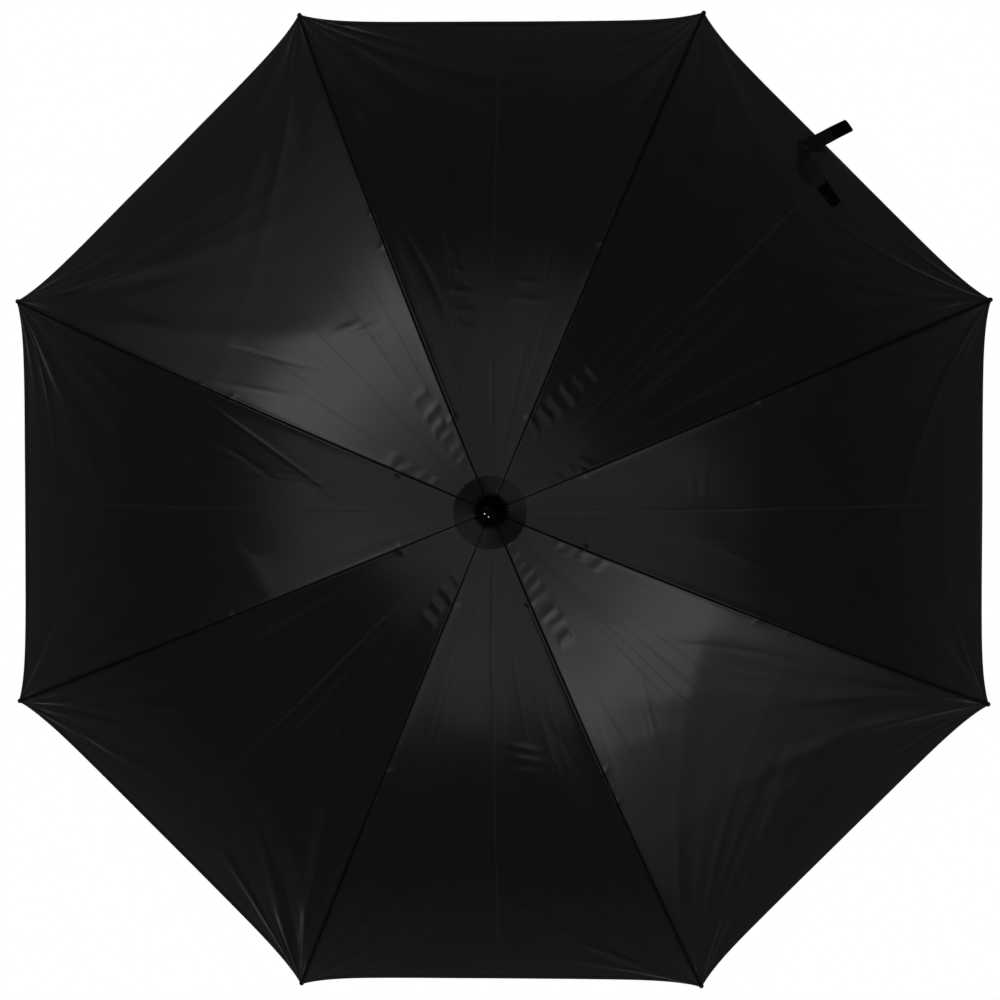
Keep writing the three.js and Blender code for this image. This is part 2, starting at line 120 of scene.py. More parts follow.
def bow(s):
    """Radius and height of the rib's bow at arc length s, and its slope there."""
    slope = CROWN_SLOPE + s / BEND_RADIUS
    radius = PIVOT_RADIUS + BEND_RADIUS * (np.sin(slope) - np.sin(CROWN_SLOPE))
    z = CROWN_Z - BEND_RADIUS * (np.cos(CROWN_SLOPE) - np.cos(slope))
    return radius, z, slope


def arc_at_radius(radius):
    """Arc length where the bow has this radius."""
    slope = np.arcsin(np.sin(CROWN_SLOPE) + (np.asarray(radius, float) - PIVOT_RADIUS) / BEND_RADIUS)
    return (slope - CROWN_SLOPE) * BEND_RADIUS


def smooth(x):
    """0 below 0, 1 above 1, and an even curve between."""
    x = np.clip(x, 0, 1)
    return x * x * (3 - 2 * x)


def bump(x, centre, width):
    """A rounded hump of height 1 about centre."""
    return np.exp(-(((x - centre) / width) ** 2))


# ---------------- materials


def new_material(name):
    """A material with an empty principled shader. Returns (material, node tree, shader)."""
    material = bpy.data.materials.new(name)
    material.use_nodes = True
    tree = material.node_tree
    shader = tree.nodes["Principled BSDF"]
    return material, tree, shader


def feed(made, socket, value):
    """Sets an input of a node, or links it if value is an output socket."""
    if isinstance(value, bpy.types.NodeSocket):
        made.id_data.links.new(value, made.inputs[socket])
    else:
        made.inputs[socket].default_value = value


def node(tree, kind, inputs=(), **settings):
    """Adds a node and sets its attributes and inputs."""
    made = tree.nodes.new("ShaderNode" + kind)
    for key, value in settings.items():
        setattr(made, key, value)
    for key, value in dict(inputs).items():
        feed(made, key, value)
    return made


def math_node(tree, operation, a, b=0.0, c=0.0):
    return node(tree, "Math", {0: a, 1: b, 2: c}, operation=operation).outputs[0]


def times(tree, a, b):
    return math_node(tree, "MULTIPLY", a, b)


def times_plus(tree, a, factor, added):
    return math_node(tree, "MULTIPLY_ADD", a, factor, added)


def map_range(tree, value, low, high, at_low=0.0, at_high=1.0, kind="LINEAR"):
    """Goes from at_low to at_high as value goes from low to high, and stays there beyond."""
    inputs = {0: value, 1: low, 2: high, 3: at_low, 4: at_high}
    return node(tree, "MapRange", inputs, interpolation_type=kind).outputs[0]


def mix_colour(tree, factor, a, b):
    made = node(tree, "Mix", {"Factor": factor}, data_type="RGBA")
    for socket, value in ((6, a), (7, b)):
        feed(made, socket, (*value, 1) if isinstance(value, tuple) else value)
    return made.outputs[2]


def noise(tree, coordinates, scale, detail=3.0, roughness=0.5):
    inputs = {"Vector": coordinates, "Scale": scale, "Detail": detail, "Roughness": roughness}
    return node(tree, "TexNoise", inputs).outputs["Fac"]


def coordinates(tree, kind="Object"):
    return node(tree, "TexCoord").outputs[kind]


def weave_height(tree, uv, pitch):
    """A plain weave over a UV map in metres: threads cross over and under at this pitch."""
    scale = 2 * math.pi / pitch
    parts = node(tree, "SeparateXYZ", {0: uv})
    warp = math_node(tree, "SINE", times(tree, parts.outputs[0], scale))
    weft = math_node(tree, "SINE", times(tree, parts.outputs[1], scale))
    crossing = times(tree, warp, weft)
    return times_plus(tree, crossing, 0.5, 0.5)


def dye(tree, shader, tone, colour):
    """Gives the shader a share, tone, of one colour."""
    feed(shader, "Base Color", mix_colour(tree, tone, (0, 0, 0), colour))


def attribute(tree, name):
    return node(tree, "Attribute", attribute_name=name).outputs["Fac"]


def set_bump(tree, shader, height, strength, distance, under=None):
    inputs = {"Height": height, "Strength": strength, "Distance": distance}
    if under is not None:
        inputs["Normal"] = under
    made = node(tree, "Bump", inputs)
    feed(shader, "Normal", made.outputs["Normal"])
    return made.outputs["Normal"]


def cloth_material(name, colour, roughness, weave_pitch, sheen, streaks, gloss=0.5):
    """Woven cloth: dyed yarn with slight streaks, a weave, seams darkened with painted shade,
    pressed lines that are duller and painted lighter as a painted sheen, and a row of hem stitches."""
    material, tree, shader = new_material(name)
    uv = coordinates(tree, "UV")
    stretch = node(tree, "Mapping", {"Vector": uv, "Scale": (260, 26, 1)}).outputs[0]
    yarn = noise(tree, stretch, 1.0, 4)
    blotch = noise(tree, uv, 9.0, 3)
    tone = times_plus(tree, yarn, streaks, 1 - streaks / 2)
    tone = times(tree, tone, times_plus(tree, blotch, 0.2, 0.9))
    # The seam attribute holds painted shade: where it is high the colour is darker and the gloss duller.
    seam = attribute(tree, "seam")
    pressed = attribute(tree, "pressed")
    tone = times(tree, tone, times_plus(tree, seam, -0.75, 1.0))
    # Painted sheen: the colour is painted up to about twice as light along pressed lines, where creases
    # catch light.
    tone = times(tree, tone, math_node(tree, "ADD", pressed, 1.0))
    base = node(tree, "VectorMath", {0: colour, "Scale": tone}, operation="SCALE").outputs[0]
    feed(shader, "Base Color", base)
    matt = times_plus(tree, seam, 0.35, roughness)
    rough = times_plus(tree, blotch, 0.08, matt)
    feed(shader, "Roughness", rough)
    feed(shader, "Sheen Weight", sheen)
    feed(shader, "Sheen Roughness", 0.5)
    shine = times_plus(tree, seam, -0.9 * gloss, gloss)
    shine = times(tree, shine, times_plus(tree, pressed, -0.45, 1.0))
    feed(shader, "Specular IOR Level", shine)
    weave = weave_height(tree, uv, weave_pitch)
    under = set_bump(tree, shader, weave, 0.2, weave_pitch * 0.05)
    set_bump(tree, shader, attribute(tree, "stitch"), 0.9, 0.0006, under)
    return material


def plastic_material(name, colour, roughness, grain, scratches=0.0):
    """Moulded plastic with a fine grain and rubbed, slightly uneven gloss."""
    material, tree, shader = new_material(name)
    place = coordinates(tree)
    uneven = noise(tree, place, 60, 4)
    tone = times_plus(tree, uneven, 0.3, 0.85)
    dye(tree, shader, tone, colour)
    fine = noise(tree, place, grain, 2)
    rubbed = times_plus(tree, uneven, scratches, roughness)
    feed(shader, "Roughness", rubbed)
    set_bump(tree, shader, fine, 0.25, 0.00008)
    return material


def metal_material(name, colour, roughness, metallic, grain_axis=(1, 1, 0.02)):
    """Drawn or coated metal: fine lines along its length, and wear that shows as brighter streaks."""
    material, tree, shader = new_material(name)
    place = coordinates(tree)
    lines = node(tree, "Mapping", {"Vector": place, "Scale": grain_axis}).outputs[0]
    drawn = noise(tree, lines, 2500, 3)
    wear = map_range(tree, noise(tree, place, 35, 5, 0.7), 0.45, 0.75)
    tone = times_plus(tree, drawn, 0.35, 0.8)
    base = mix_colour(tree, tone, (0, 0, 0), colour)
    worn = tuple(min(1.0, c * 1.8 + 0.02) for c in colour)
    mixed = mix_colour(tree, times(tree, wear, 0.35), base, worn)
    feed(shader, "Base Color", mixed)
    feed(shader, "Roughness", times_plus(tree, drawn, 0.15, roughness))
    feed(shader, "Metallic", metallic)
    set_bump(tree, shader, drawn, 0.12, 0.00005)
    return material


def foam_material():
    """Closed-cell foam rubber, speckled with fine pores."""
    material, tree, shader = new_material("foam")
    place = coordinates(tree)
    cells = node(tree, "TexVoronoi", {"Vector": place, "Scale": 900}).outputs["Distance"]
    uneven = noise(tree, place, 40, 5)
    tone = times_plus(tree, uneven, 0.5, 0.7)
    dye(tree, shader, tone, (0.022, 0.022, 0.023))
    feed(shader, "Roughness", times_plus(tree, uneven, 0.15, 0.75))
    set_bump(tree, shader, cells, 0.5, 0.0004)
    return material


def fuzz_material(name, colour):
    """The dense pile of a hook-and-loop patch."""
    material, tree, shader = new_material(name)
    place = coordinates(tree)
    pile = node(tree, "TexVoronoi", {"Vector": place, "Scale": 1400}).outputs["Distance"]
    tone = times_plus(tree, pile, -0.8, 1.1)
    dye(tree, shader, tone, colour)
    feed(shader, "Roughness", 0.95)
    feed(shader, "Specular IOR Level", 0.08)
    set_bump(tree, shader, pile, 1.0, 0.0005)
    return material


SATIN = cloth_material("satin_cloth", (0.0105, 0.0105, 0.011), 0.15, 0.0005, 0.02, 0.35)
ROSETTE_CLOTH = cloth_material("rosette_cloth", (0.004, 0.004, 0.0042), 0.6, 0.0006, 0.0, 0.3)
BAND_CLOTH = cloth_material("band_cloth", (0.006, 0.006, 0.0065), 0.55, 0.0007, 0.01, 0.4, 0.14)
GLOSS_PLASTIC = plastic_material("gloss_plastic", (0.003, 0.003, 0.0032), 0.1, 700, 0.06)
POLISHED_CAP = plastic_material("polished_cap", (0.0002, 0.0002, 0.0002), 0.03, 700, 0.03)
feed(POLISHED_CAP.node_tree.nodes["Principled BSDF"], "Specular IOR Level", 0.03)
MOULDED = plastic_material("moulded_nylon", (0.014, 0.014, 0.015), 0.38, 1500, 0.15)
GLASS_FIBRE = plastic_material("glass_fibre", (0.012, 0.012, 0.013), 0.32, 2200, 0.1)
BLACK_STEEL = metal_material("black_steel", (0.02, 0.02, 0.022), 0.28, 0.35)
BRIGHT_STEEL = metal_material("bright_steel", (0.55, 0.56, 0.58), 0.22, 1.0)
FOAM = foam_material()
HOOKS = fuzz_material("hook_patch", (0.001, 0.001, 0.001))

# ---------------- mesh helpers


def add_object(name, data):
    made = bpy.data.objects.new(name, data)
    bpy.context.scene.collection.objects.link(made)
    return made


def new_object(name, vertices, faces, material):
    """An object from vertices in millimetres in the row frame."""
    mesh = bpy.data.meshes.new(name)
    mesh.from_pydata((np.asarray(vertices, float) * MM).tolist(), [], [list(f) for f in faces])
    mesh.validate()
    mesh.update()
    mesh.materials.append(material)
    mesh.polygons.foreach_set("use_smooth", [True] * len(mesh.polygons))
    return add_object(name, mesh)


def grid_faces(rows, columns, wrap=False):
    """Quads over a grid of points, stored row by row. With wrap, the last column joins the first."""
    across = columns if wrap else columns - 1
    faces = []
    for i in range(rows - 1):
        for j in range(across):
            a = i * columns + j
            b = i * columns + (j + 1) % columns
            faces.append((a, b, b + columns, a + columns))
    return faces


def set_attribute(piece, name, values):
    made = piece.data.attributes.new(name, "FLOAT", "POINT")
    made.data.foreach_set("value", np.asarray(values, np.float32).ravel())


def set_uv(piece, uv_of_vertex):
    layer = piece.data.uv_layers.new(name="cloth")
    loops = np.zeros(len(piece.data.loops), int)
    piece.data.loops.foreach_get("vertex_index", loops)
    layer.data.foreach_set("uv", np.asarray(uv_of_vertex, np.float32)[loops].ravel())


def spoke_to_row(points, azimuth):
    """Turns points drawn with x outwards and z up about the shaft's axis to an azimuth."""
    points = np.asarray(points, float)
    turned = points.copy()
    turned[..., 0] = points[..., 0] * math.cos(azimuth) - points[..., 1] * math.sin(azimuth)
    turned[..., 1] = points[..., 0] * math.sin(azimuth) + points[..., 1] * math.cos(azimuth)
    return turned


def lathe(name, profile, material, sides=96, height=0.0, shape=None):
    """Revolves (radius, height) points. Ends on the axis are closed, and a profile that starts and
    ends at the same point makes a ring. shape(radius, z, angle) may change each point's radius."""
    profile = [(float(r), float(z)) for r, z in profile]
    closed = profile[0] == profile[-1]
    if closed:
        profile = profile[:-1]
    angles = np.arange(sides) * 2 * math.pi / sides
    vertices, rings = [], []
    for radius, z in profile:
        if radius < 1e-6:
            rings.append([len(vertices)])
            vertices.append((0, 0, z + height))
            continue
        radii = np.full(sides, radius) if shape is None else shape(radius, z, angles)
        rings.append(list(range(len(vertices), len(vertices) + sides)))
        vertices += [(r * math.cos(a), r * math.sin(a), z + height) for r, a in zip(radii, angles)]
    faces = []
    pairs = list(zip(rings, rings[1:])) + ([(rings[-1], rings[0])] if closed else [])
    for low, high in pairs:
        for j in range(sides):
            k = (j + 1) % sides
            if len(low) == 1:
                faces.append((low[0], high[k], high[j]))
            elif len(high) == 1:
                faces.append((low[j], low[k], high[0]))
            else:
                faces.append((low[j], low[k], high[k], high[j]))
    made = new_object(name, vertices, faces, material)
    return face_out(made)


def edit_mesh(piece, change):
    """Runs change on a piece's mesh."""
    mesh = bmesh.new()
    mesh.from_mesh(piece.data)
    change(mesh)
    mesh.to_mesh(piece.data)
    mesh.free()
    return piece


def face_out(piece):
    """Recalculates the normals of a closed mesh, so that they point out."""

    def change(mesh):
        bmesh.ops.remove_doubles(mesh, verts=mesh.verts, dist=1e-7)
        bmesh.ops.recalc_face_normals(mesh, faces=mesh.faces)

    return edit_mesh(piece, change)


def mark_sharp(piece, is_sharp):
    def change(mesh):
        for edge in mesh.edges:
            if is_sharp(edge):
                edge.smooth = False

    return edit_mesh(piece, change)


def rounded(profile, radius=0.5, steps=3):
    """Rounds the corners of a profile, leaving points on the axis sharp."""
    closed = profile[0] == profile[-1]
    points = [np.array(p, float) for p in (profile[:-1] if closed else profile)]
    count = len(points)
    out = []
    for i, here in enumerate(points):
        if not closed and i in (0, count - 1):
            out.append(tuple(here))
            continue
        before, after = points[i - 1], points[(i + 1) % count]
        reach_a = min(radius, np.linalg.norm(before - here) * 0.45)
        reach_b = min(radius, np.linalg.norm(after - here) * 0.45)
        start = here + (before - here) / np.linalg.norm(before - here) * reach_a
        end = here + (after - here) / np.linalg.norm(after - here) * reach_b
        for k in range(steps + 1):
            t = k / steps
            out.append(tuple((1 - t) ** 2 * start + 2 * t * (1 - t) * here + t * t * end))
    return out + [out[0]] if closed else out


def sharpen(piece, degrees=35):
    """Smooth shading with crisp edges where faces meet at more than this angle."""
    limit = math.radians(degrees)
    return mark_sharp(piece, lambda edge: len(edge.link_faces) == 2 and edge.calc_face_angle(0) > limit)


def crisp_border(piece):
    """Marks the open edges of a sheet sharp, so that its shading isn't rounded over them."""
    return mark_sharp(piece, lambda edge: edge.is_boundary)


def box_tool(size, centre, turn=0.0):
    """A hidden box used as a cutter, in millimetres, turned about Z."""
    mesh = bmesh.new()
    bmesh.ops.create_cube(mesh, size=1.0)
    bmesh.ops.scale(mesh, vec=Vector(size) * MM, verts=mesh.verts)
    bmesh.ops.translate(mesh, vec=Vector(centre) * MM, verts=mesh.verts)
    bmesh.ops.rotate(mesh, cent=(0, 0, 0), matrix=Matrix.Rotation(turn, 3, "Z"), verts=mesh.verts)
    data = bpy.data.meshes.new("cutter")
    mesh.to_mesh(data)
    mesh.free()
    return add_object("cutter", data)


def apply_modifiers(piece):
    """Replaces a piece's mesh by its evaluated one."""
    bpy.context.view_layer.update()
    evaluated = piece.evaluated_get(bpy.context.evaluated_depsgraph_get())
    mesh = bpy.data.meshes.new_from_object(evaluated)
    piece.modifiers.clear()
    piece.data = mesh
    return piece


def carve(piece, tools):
    """Cuts tools out of a piece and removes the tools."""
    for tool in tools:
        modifier = piece.modifiers.new("carve", "BOOLEAN")
        modifier.operation = "DIFFERENCE"
        modifier.solver = "EXACT"
        modifier.object = tool
    apply_modifiers(piece)
    for tool in tools:
        data = tool.data
        bpy.data.objects.remove(tool)
        bpy.data.meshes.remove(data)
    piece.data.polygons.foreach_set("use_smooth", [True] * len(piece.data.polygons))
    return sharpen(piece)


def soften(piece, width, segments=2):
    """A bevel on the sharp edges of a piece, as moulding and tumbling leave them."""
    modifier = piece.modifiers.new("soften", "BEVEL")
    modifier.width = width * MM
    modifier.segments = segments
    modifier.limit_method = "ANGLE"
    modifier.angle_limit = math.radians(35)
    modifier.harden_normals = False
    return piece


def ride(piece, body, node_names):
    """Joins a finished piece to its body and hides the CAD nodes that it stands for."""
    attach(piece, body)
    if node_names:
        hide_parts(*node_names)
    return piece


# ---------------- canopy cloth

GORE_SEED = 20


def half_parts(gore, first):
    """A half gore's rib, its side of the gore's middle line, and its body."""
    if first:
        return gore, -1.0, f"gore_{gore}_first_half"
    return gore % RIB_COUNT + 1, 1.0, f"gore_{gore}_second_half"


def spoke_sheet(name, points, azimuth, material, flip=False):
    """A sheet through a grid of points, turned to an azimuth. flip turns its faces over."""
    rows, columns, _ = points.shape
    faces = grid_faces(rows, columns)
    if flip:
        faces = [f[::-1] for f in faces]
    return new_object(name, spoke_to_row(points.reshape(-1, 3), azimuth), faces, material)


def make_cloth(piece, thickness, seam, stitch=None, offset=-1.0):
    """Gives a sheet the attributes that the cloth materials read, and its thickness."""
    # seam darkens the cloth and dulls its gloss: painted shade on the canopy and rosette, a darker
    # selvedge on the strap.
    set_attribute(piece, "seam", seam)
    set_attribute(piece, "stitch", np.zeros_like(seam) if stitch is None else stitch)
    crisp_border(piece)
    solid = piece.modifiers.new("thickness", "SOLIDIFY")
    solid.thickness = thickness * MM
    solid.offset = offset


def stand_for(piece, cad_node):
    """Hides the CAD node that a piece of cloth stands for."""
    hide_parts(cad_node)
    return piece


# How strongly straight lines and folds run out from the crown, by gore.
FOLDED = {1: 1.2, 2: 0.9, 3: 0.8, 4: 0.5, 5: 1.2, 6: 0.7, 7: 1.0, 8: 0.4}

# How strongly the mid crease shows, by gore.
CREASED = {1: 1.4, 2: 0.9, 3: 0.7, 4: 1.1, 5: 1.4, 6: 1.3, 7: 0.8, 8: 1.2}

# Ladders of puckers beside the ribs near the crown, as (rib, side, arc length where they start and
# end, distance of their middle from the rib at the start, how much that grows for each millimetre
# out, strength). Side -1 is towards the previous gore and 1 towards the next.
PUCKERS = [
    (2, -1, 96, 215, 9, 0.38, 1.0), (3, 1, 55, 158, 8, 0.2, 0.9), (7, 1, 28, 180, 5, 0.13, 1.1),
    (4, -1, 60, 130, 6, 0.06, 0.7), (8, -1, 72, 140, 4, 0.05, 0.7), (6, -1, 76, 140, 7, 0.2, 0.6),
    (1, 1, 60, 110, 6, 0.1, 0.4), (2, 1, 120, 200, 10, 0.1, 0.12), (3, -1, 120, 230, 10, 0.2, 0.12),
    (4, 1, 92, 115, 5, 0.1, 0.3), (7, -1, 90, 150, 10, 0.1, 0.15), (1, -1, 90, 150, 10, 0.1, 0.15),
]

# Lone folds, as (gore, arc length, distance from the mid crease, heading in degrees from the
# mid crease, length, thickness, height).
LONE_FOLDS = [
    (3, 262, -38, 62, 20, 5, 0.6), (3, 278, -30, 62, 16, 5, 0.5), (3, 248, -46, 60, 12, 4, 0.3),
    (2, 262, 34, 84, 17, 4, 0.4), (2, 250, -40, 84, 20, 4, 0.35), (2, 290, 30, 84, 14, 4, 0.3),
    (2, 214, 28, 84, 14, 4, 0.22), (2, 236, 34, 86, 15, 4, 0.25), (2, 275, -36, 82, 13, 4, 0.25),
    (6, 292, 34, 78, 14, 4, 0.6), (6, 308, 36, 80, 15, 4, 0.55), (6, 326, 36, 82, 13, 4, 0.4),
    (8, 236, 26, 86, 13, 4, 0.3), (8, 252, 28, 86, 12, 4, 0.3),
    (1, 330, -16, 12, 62, 3, 0.8), (1, 355, -28, 14, 58, 3, 0.6),
]


def hem_at(across):
    """Arc length of the hem, across being 0 at the rib and 1 at the mid crease."""
    return CLOTH_TO - HEM_RISE * (1 - np.exp(-8 * across))


def fold_line(s, y, start, heading, length, thickness, height, bend=0.0):
    """One straight or slightly bent fold, through start, heading off the gore's middle line."""
    ds, dy = s - start[0], y - start[1]
    along = ds * np.cos(heading) + dy * np.sin(heading)
    aside = dy * np.cos(heading) - ds * np.sin(heading) - bend * along ** 2 / length
    return height * bump(aside, 0, thickness) * bump(along, 0, length)


def puckers(s, from_rib, start, stop, first, drift, strength, draw):
    """A ladder of short ridges beside a rib, where the seam takes the cloth in. They grow outwards
    from the crown."""
    relief = np.zeros_like(s)
    where = start
    while where < stop:
        grown = min(1.0, 0.3 + where / 170)
        middle = first + drift * (where - start) + draw(-2, 2) * grown
        half = (3.2 + 10 * grown) * draw(0.8, 1.2)
        thick = (1.5 + 4.0 * grown) * draw(0.8, 1.2)
        slant = draw(-0.25, 0.25)
        height = strength * grown * draw(0.4, 1.0)
        across = smooth((half - np.abs(from_rib - middle)) / (0.6 * half))
        relief += height * across * bump(s, where + slant * (from_rib - middle), thick)
        where += draw(15, 25) * (0.45 + 0.55 * grown)
    return relief * smooth(from_rib / 2.5)


# The angle between the rib and the innermost fold of a tip's fan, in radians.
TIP_LEAN = 0.25

# How strongly folds spread from each rib's tip, by rib number: (side towards the previous gore,
# side towards the next gore).
TIP_FANS = {1: (0.45, 0.75), 2: (0.5, 0.5), 3: (1.3, 0.5), 4: (0.9, 1.2), 5: (0.5, 1.2),
            6: (1.4, 0.3), 7: (0.7, 0.8), 8: (1.0, 0.4)}


def tip_fan(across, along, strength, draw):
    """Narrow folds that spread over the cloth from a rib tip, longest beside the rib. across and
    along are distances from the tip, off the rib and along it."""
    reach = np.hypot(across, along)
    angle = np.arctan2(across, np.maximum(along, 1e-3))
    q = np.clip((angle - TIP_LEAN) / (np.pi / 2 - TIP_LEAN), 0, 1)
    total = np.zeros_like(reach)
    for _ in range(22):
        spine = draw(0.02, 0.7) ** 1.5
        width = draw(0.018, 0.05)
        length = draw(30, 75) * (2.3 - 2.0 * spine)
        bend = draw(-0.05, 0.09)
        height = draw(-0.6, 1.0)
        swell = (reach / length) ** 1.3 * np.exp(1 - reach / length)
        total += height * swell * bump(q, spine + bend * reach / length, width)
    return 1.4 * strength * total * smooth(q / 0.03) * smooth((0.85 - q) / 0.25)


def pressed_lines(s, y, half_width, gore):
    """How much each place lies on a line pressed in while the cloth was folded: the mid crease and
    a few straight lines that run out from the crown."""
    draw = np.random.default_rng(GORE_SEED + 100 + gore).uniform
    thick = 0.7 + 0.008 * half_width
    uneven = 0.8 + 0.2 * np.sin(s / draw(40, 90) + gore)
    pressed = CREASED[gore] * bump(y, 0, 1.1) * uneven
    for _ in range(8):
        where = draw(-0.75, 0.75)
        middle = draw(60, 330)
        line = bump(y, where * half_width, thick) * bump(s, middle, draw(50, 130))
        pressed = pressed + FOLDED[gore] * draw(0.25, 0.8) * line
    return np.clip(pressed, 0, 1.4) * smooth((s - 25) / 30)


def gore_relief(s, y, half_width, to_hem, gore):
    """Height of the folds of one gore, in millimetres, at arc length s and y from its middle line."""
    draw = np.random.default_rng(GORE_SEED + gore).uniform
    t = y / np.maximum(half_width, 1e-6)  # -1 and 1 at the ribs, 0 at the mid crease
    from_rib = half_width - np.abs(y)
    free = smooth(from_rib / 14) * (1 - t ** 6)

    # slow waves all over
    relief = draw(-0.010, 0.010) * from_rib * smooth(s / 200)
    for _ in range(6):
        length = draw(70, 190)
        heading = draw(0, np.pi)
        shift = draw(0, 2 * np.pi)
        wave = np.sin(2 * np.pi * (s * np.cos(heading) + y * np.sin(heading)) / length + shift)
        relief += 0.08 * free * wave * smooth(s / 200)

    # folds that run out from the crown
    for folds in (1.5, 2.5, 4.0):
        shift = draw(0, 2 * np.pi)
        fade = bump(s, 70, 60)
        relief += 0.12 / folds * free * fade * np.sin(2 * np.pi * folds * t + shift)

    # straight folds near the middle line
    for _ in range(6):
        heading = draw(-0.3, 0.3)
        start = draw(90, 230)
        length = draw(60, 170)
        line = ((start, start * np.tan(heading)), heading, length, draw(1.6, 3.2))
        relief += free * fold_line(s, y, *line, FOLDED[gore] * draw(-0.1, 0.12))

    # beside each rib: its ladders, the fan from its tip, and strain lines that lean away from it
    for side, rib in ((-1, gore), (1, gore % RIB_COUNT + 1)):
        towards = smooth(side * t * 4 + 0.5)
        for ladder_rib, ladder_side, *ladder in PUCKERS:
            if ladder_rib == rib and ladder_side == -side:
                relief += towards * puckers(s, from_rib, *ladder, draw)
        corner = bow(CLOTH_TO)[0] * math.sin(HALF_GORE)
        fan = TIP_FANS[rib][1 if side < 0 else 0]
        relief += tip_fan(corner - side * y, CLOTH_TO - s, fan, draw)

        for _ in range(7):
            middle = draw(300, 620)
            off = draw(10, 75)
            start = (middle, side * (bow(middle)[0] * math.sin(HALF_GORE) - off))
            heading = side * draw(0.30, 0.52)
            line = (start, heading, draw(40, 120), draw(2.0, 4.2))
            height = fan * draw(-0.35, 0.45)
            relief += free * fold_line(s, y, *line, height, draw(-0.1, 0.1))

    for number, where, off, heading, length, thickness, height in LONE_FOLDS:
        if number == gore:
            line = ((where, off), math.radians(heading), length, thickness, height)
            relief += free * fold_line(s, y, *line)

    edge = smooth(to_hem / 10)
    return relief * (0.35 + 0.65 * edge)


# Where the cloth is tied to a rib, as (arc length, length of the bump).
TIES = ((100, 3.2), (JOINT_AT - 22, 3.5), (JOINT_AT + 23, 3.5))


def seam_relief(s, from_rib, first):
    """The cloth over a rib: a low ridge with the seam sunk in it, a bump where it is tied, and the
    seam allowance, which lies under the cloth of the gore before the rib."""
    narrow = np.clip(s / 60, 0.25, 1)
    ridge = 0.4 * bump(from_rib, 0, 5.5 * narrow)
    groove = -1.0 * bump(from_rib, 0, 0.9)
    ties = sum(bump(s, place, length) for place, length in TIES) * bump(from_rib, 0, 6) * 1.1
    allowance = 0.16 * smooth((4.4 - from_rib) / 1.3) * smooth((s - 60) / 60)
    return ridge + groove + ties + (np.zeros_like(s) if first else allowance)


# The grid of a half gore. Rows are shares of the way from the crown to the hem, closest where the
# cloth is creased. Columns are first at set distances from the rib, then spread out, closer beside
# the rib than in the middle, and end at set distances from the mid crease.
ROWS = np.concatenate([
    np.linspace(0, 0.32, 92, endpoint=False),
    np.linspace(0.32, 0.72, 92, endpoint=False),
    np.linspace(0.72, 0.985, 88, endpoint=False),
    np.linspace(0.985, 1, 7),
])
NEAR_RIB = np.array([0, 0.45, 0.9, 1.5, 2.2, 2.9, 3.5, 4.1, 5.2, 7.5, 10.0])
NEAR_CREASE = np.array([2.6, 1.2, 0])
SPREAD_COUNT = 68
SPREAD_SLOWLY = 0.55
FULL_OFFSETS_FROM = 42


def columns_across(width):
    """Distances of the grid's columns from the rib, by row, as shares of the row's half width."""
    shrink = np.minimum(1.0, width / FULL_OFFSETS_FROM)
    near = NEAR_RIB[None, :] * shrink
    far = width - NEAR_CREASE[None, :] * shrink
    share = np.linspace(0, 1, SPREAD_COUNT + 2)[None, 1:-1]
    share = SPREAD_SLOWLY * share + (1 - SPREAD_SLOWLY) * share ** 2
    spread = near[:, -1:] + (far[:, :1] - near[:, -1:]) * share
    return np.concatenate([near, spread, far], axis=1) / width


def half_gore(gore, first):
    """One half of a gore, from its rib to its mid crease. first is the half beside rib `gore`."""
    rib, side, body = half_parts(gore, first)
    along = ROWS[:, None]
    s_rough = CLOTH_FROM + along * (CLOTH_TO - CLOTH_FROM)
    width = bow(s_rough)[0] * math.sin(HALF_GORE)
    fraction = columns_across(width)
    s = CLOTH_FROM + along * (hem_at(fraction) - CLOTH_FROM)
    radius, z, slope = bow(s)
    half_width = radius * math.sin(HALF_GORE)
    from_rib = fraction * half_width
    y = side * (half_width - from_rib)
    to_hem = (1 - along) * (hem_at(fraction) - CLOTH_FROM)

    sag = CLOTH_SAG * np.sin(np.pi * along) * smooth(fraction)
    lift = CLOTH_LIFT - sag + seam_relief(s, from_rib, first)
    pressed = pressed_lines(s, y, half_width, gore)
    lift = lift + gore_relief(s, y, half_width, to_hem, gore) + 0.15 * pressed
    hem_fold = 0.35 * smooth((HEM_WIDTH - to_hem) / 1.5)
    lift = np.maximum(lift, RIB_RADIUS + 0.6) + hem_fold

    turn = HALF_GORE * y / half_width
    points = np.stack([
        radius * math.cos(HALF_GORE) + lift * np.sin(slope) * np.cos(turn),
        y + lift * np.sin(slope) * np.sin(turn),
        z + lift * np.cos(slope),
    ], axis=-1)
    middle = azimuth_of_rib(gore) + HALF_GORE
    piece = spoke_sheet(f"canopy_{body}_cloth", points, middle, SATIN, flip=side < 0)
    set_uv(piece, np.stack([y * MM, s * MM], axis=-1).reshape(-1, 2))
    set_attribute(piece, "pressed", pressed)
    # Painted shade over each seam: a dark line that widens towards the tip, where the rib's shadow falls
    # in the cloth's valley, and a darker band along the very edge of the hem.
    seam_shade_width = 0.85 + 0.65 * smooth((s - 30) / 90) + 1.9 * smooth((s - 250) / 330)
    seam = bump(from_rib, 0, seam_shade_width) + 0.6 * smooth((1.6 - to_hem) / 1.2)
    stitch = -bump(to_hem, HEM_WIDTH - 0.8, 0.7)
    make_cloth(piece, CLOTH_THICKNESS, np.clip(seam, 0, 1), stitch)
    follow_cloth(piece)
    return stand_for(piece, f"canopy_{body}")


def follow_cloth(piece):
    """Bakes a piece's place into its mesh."""
    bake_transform(piece)


for gore_number in range(1, RIB_COUNT + 1):
    half_gore(gore_number, True)
    half_gore(gore_number, False)

# ---------------- outer rosette

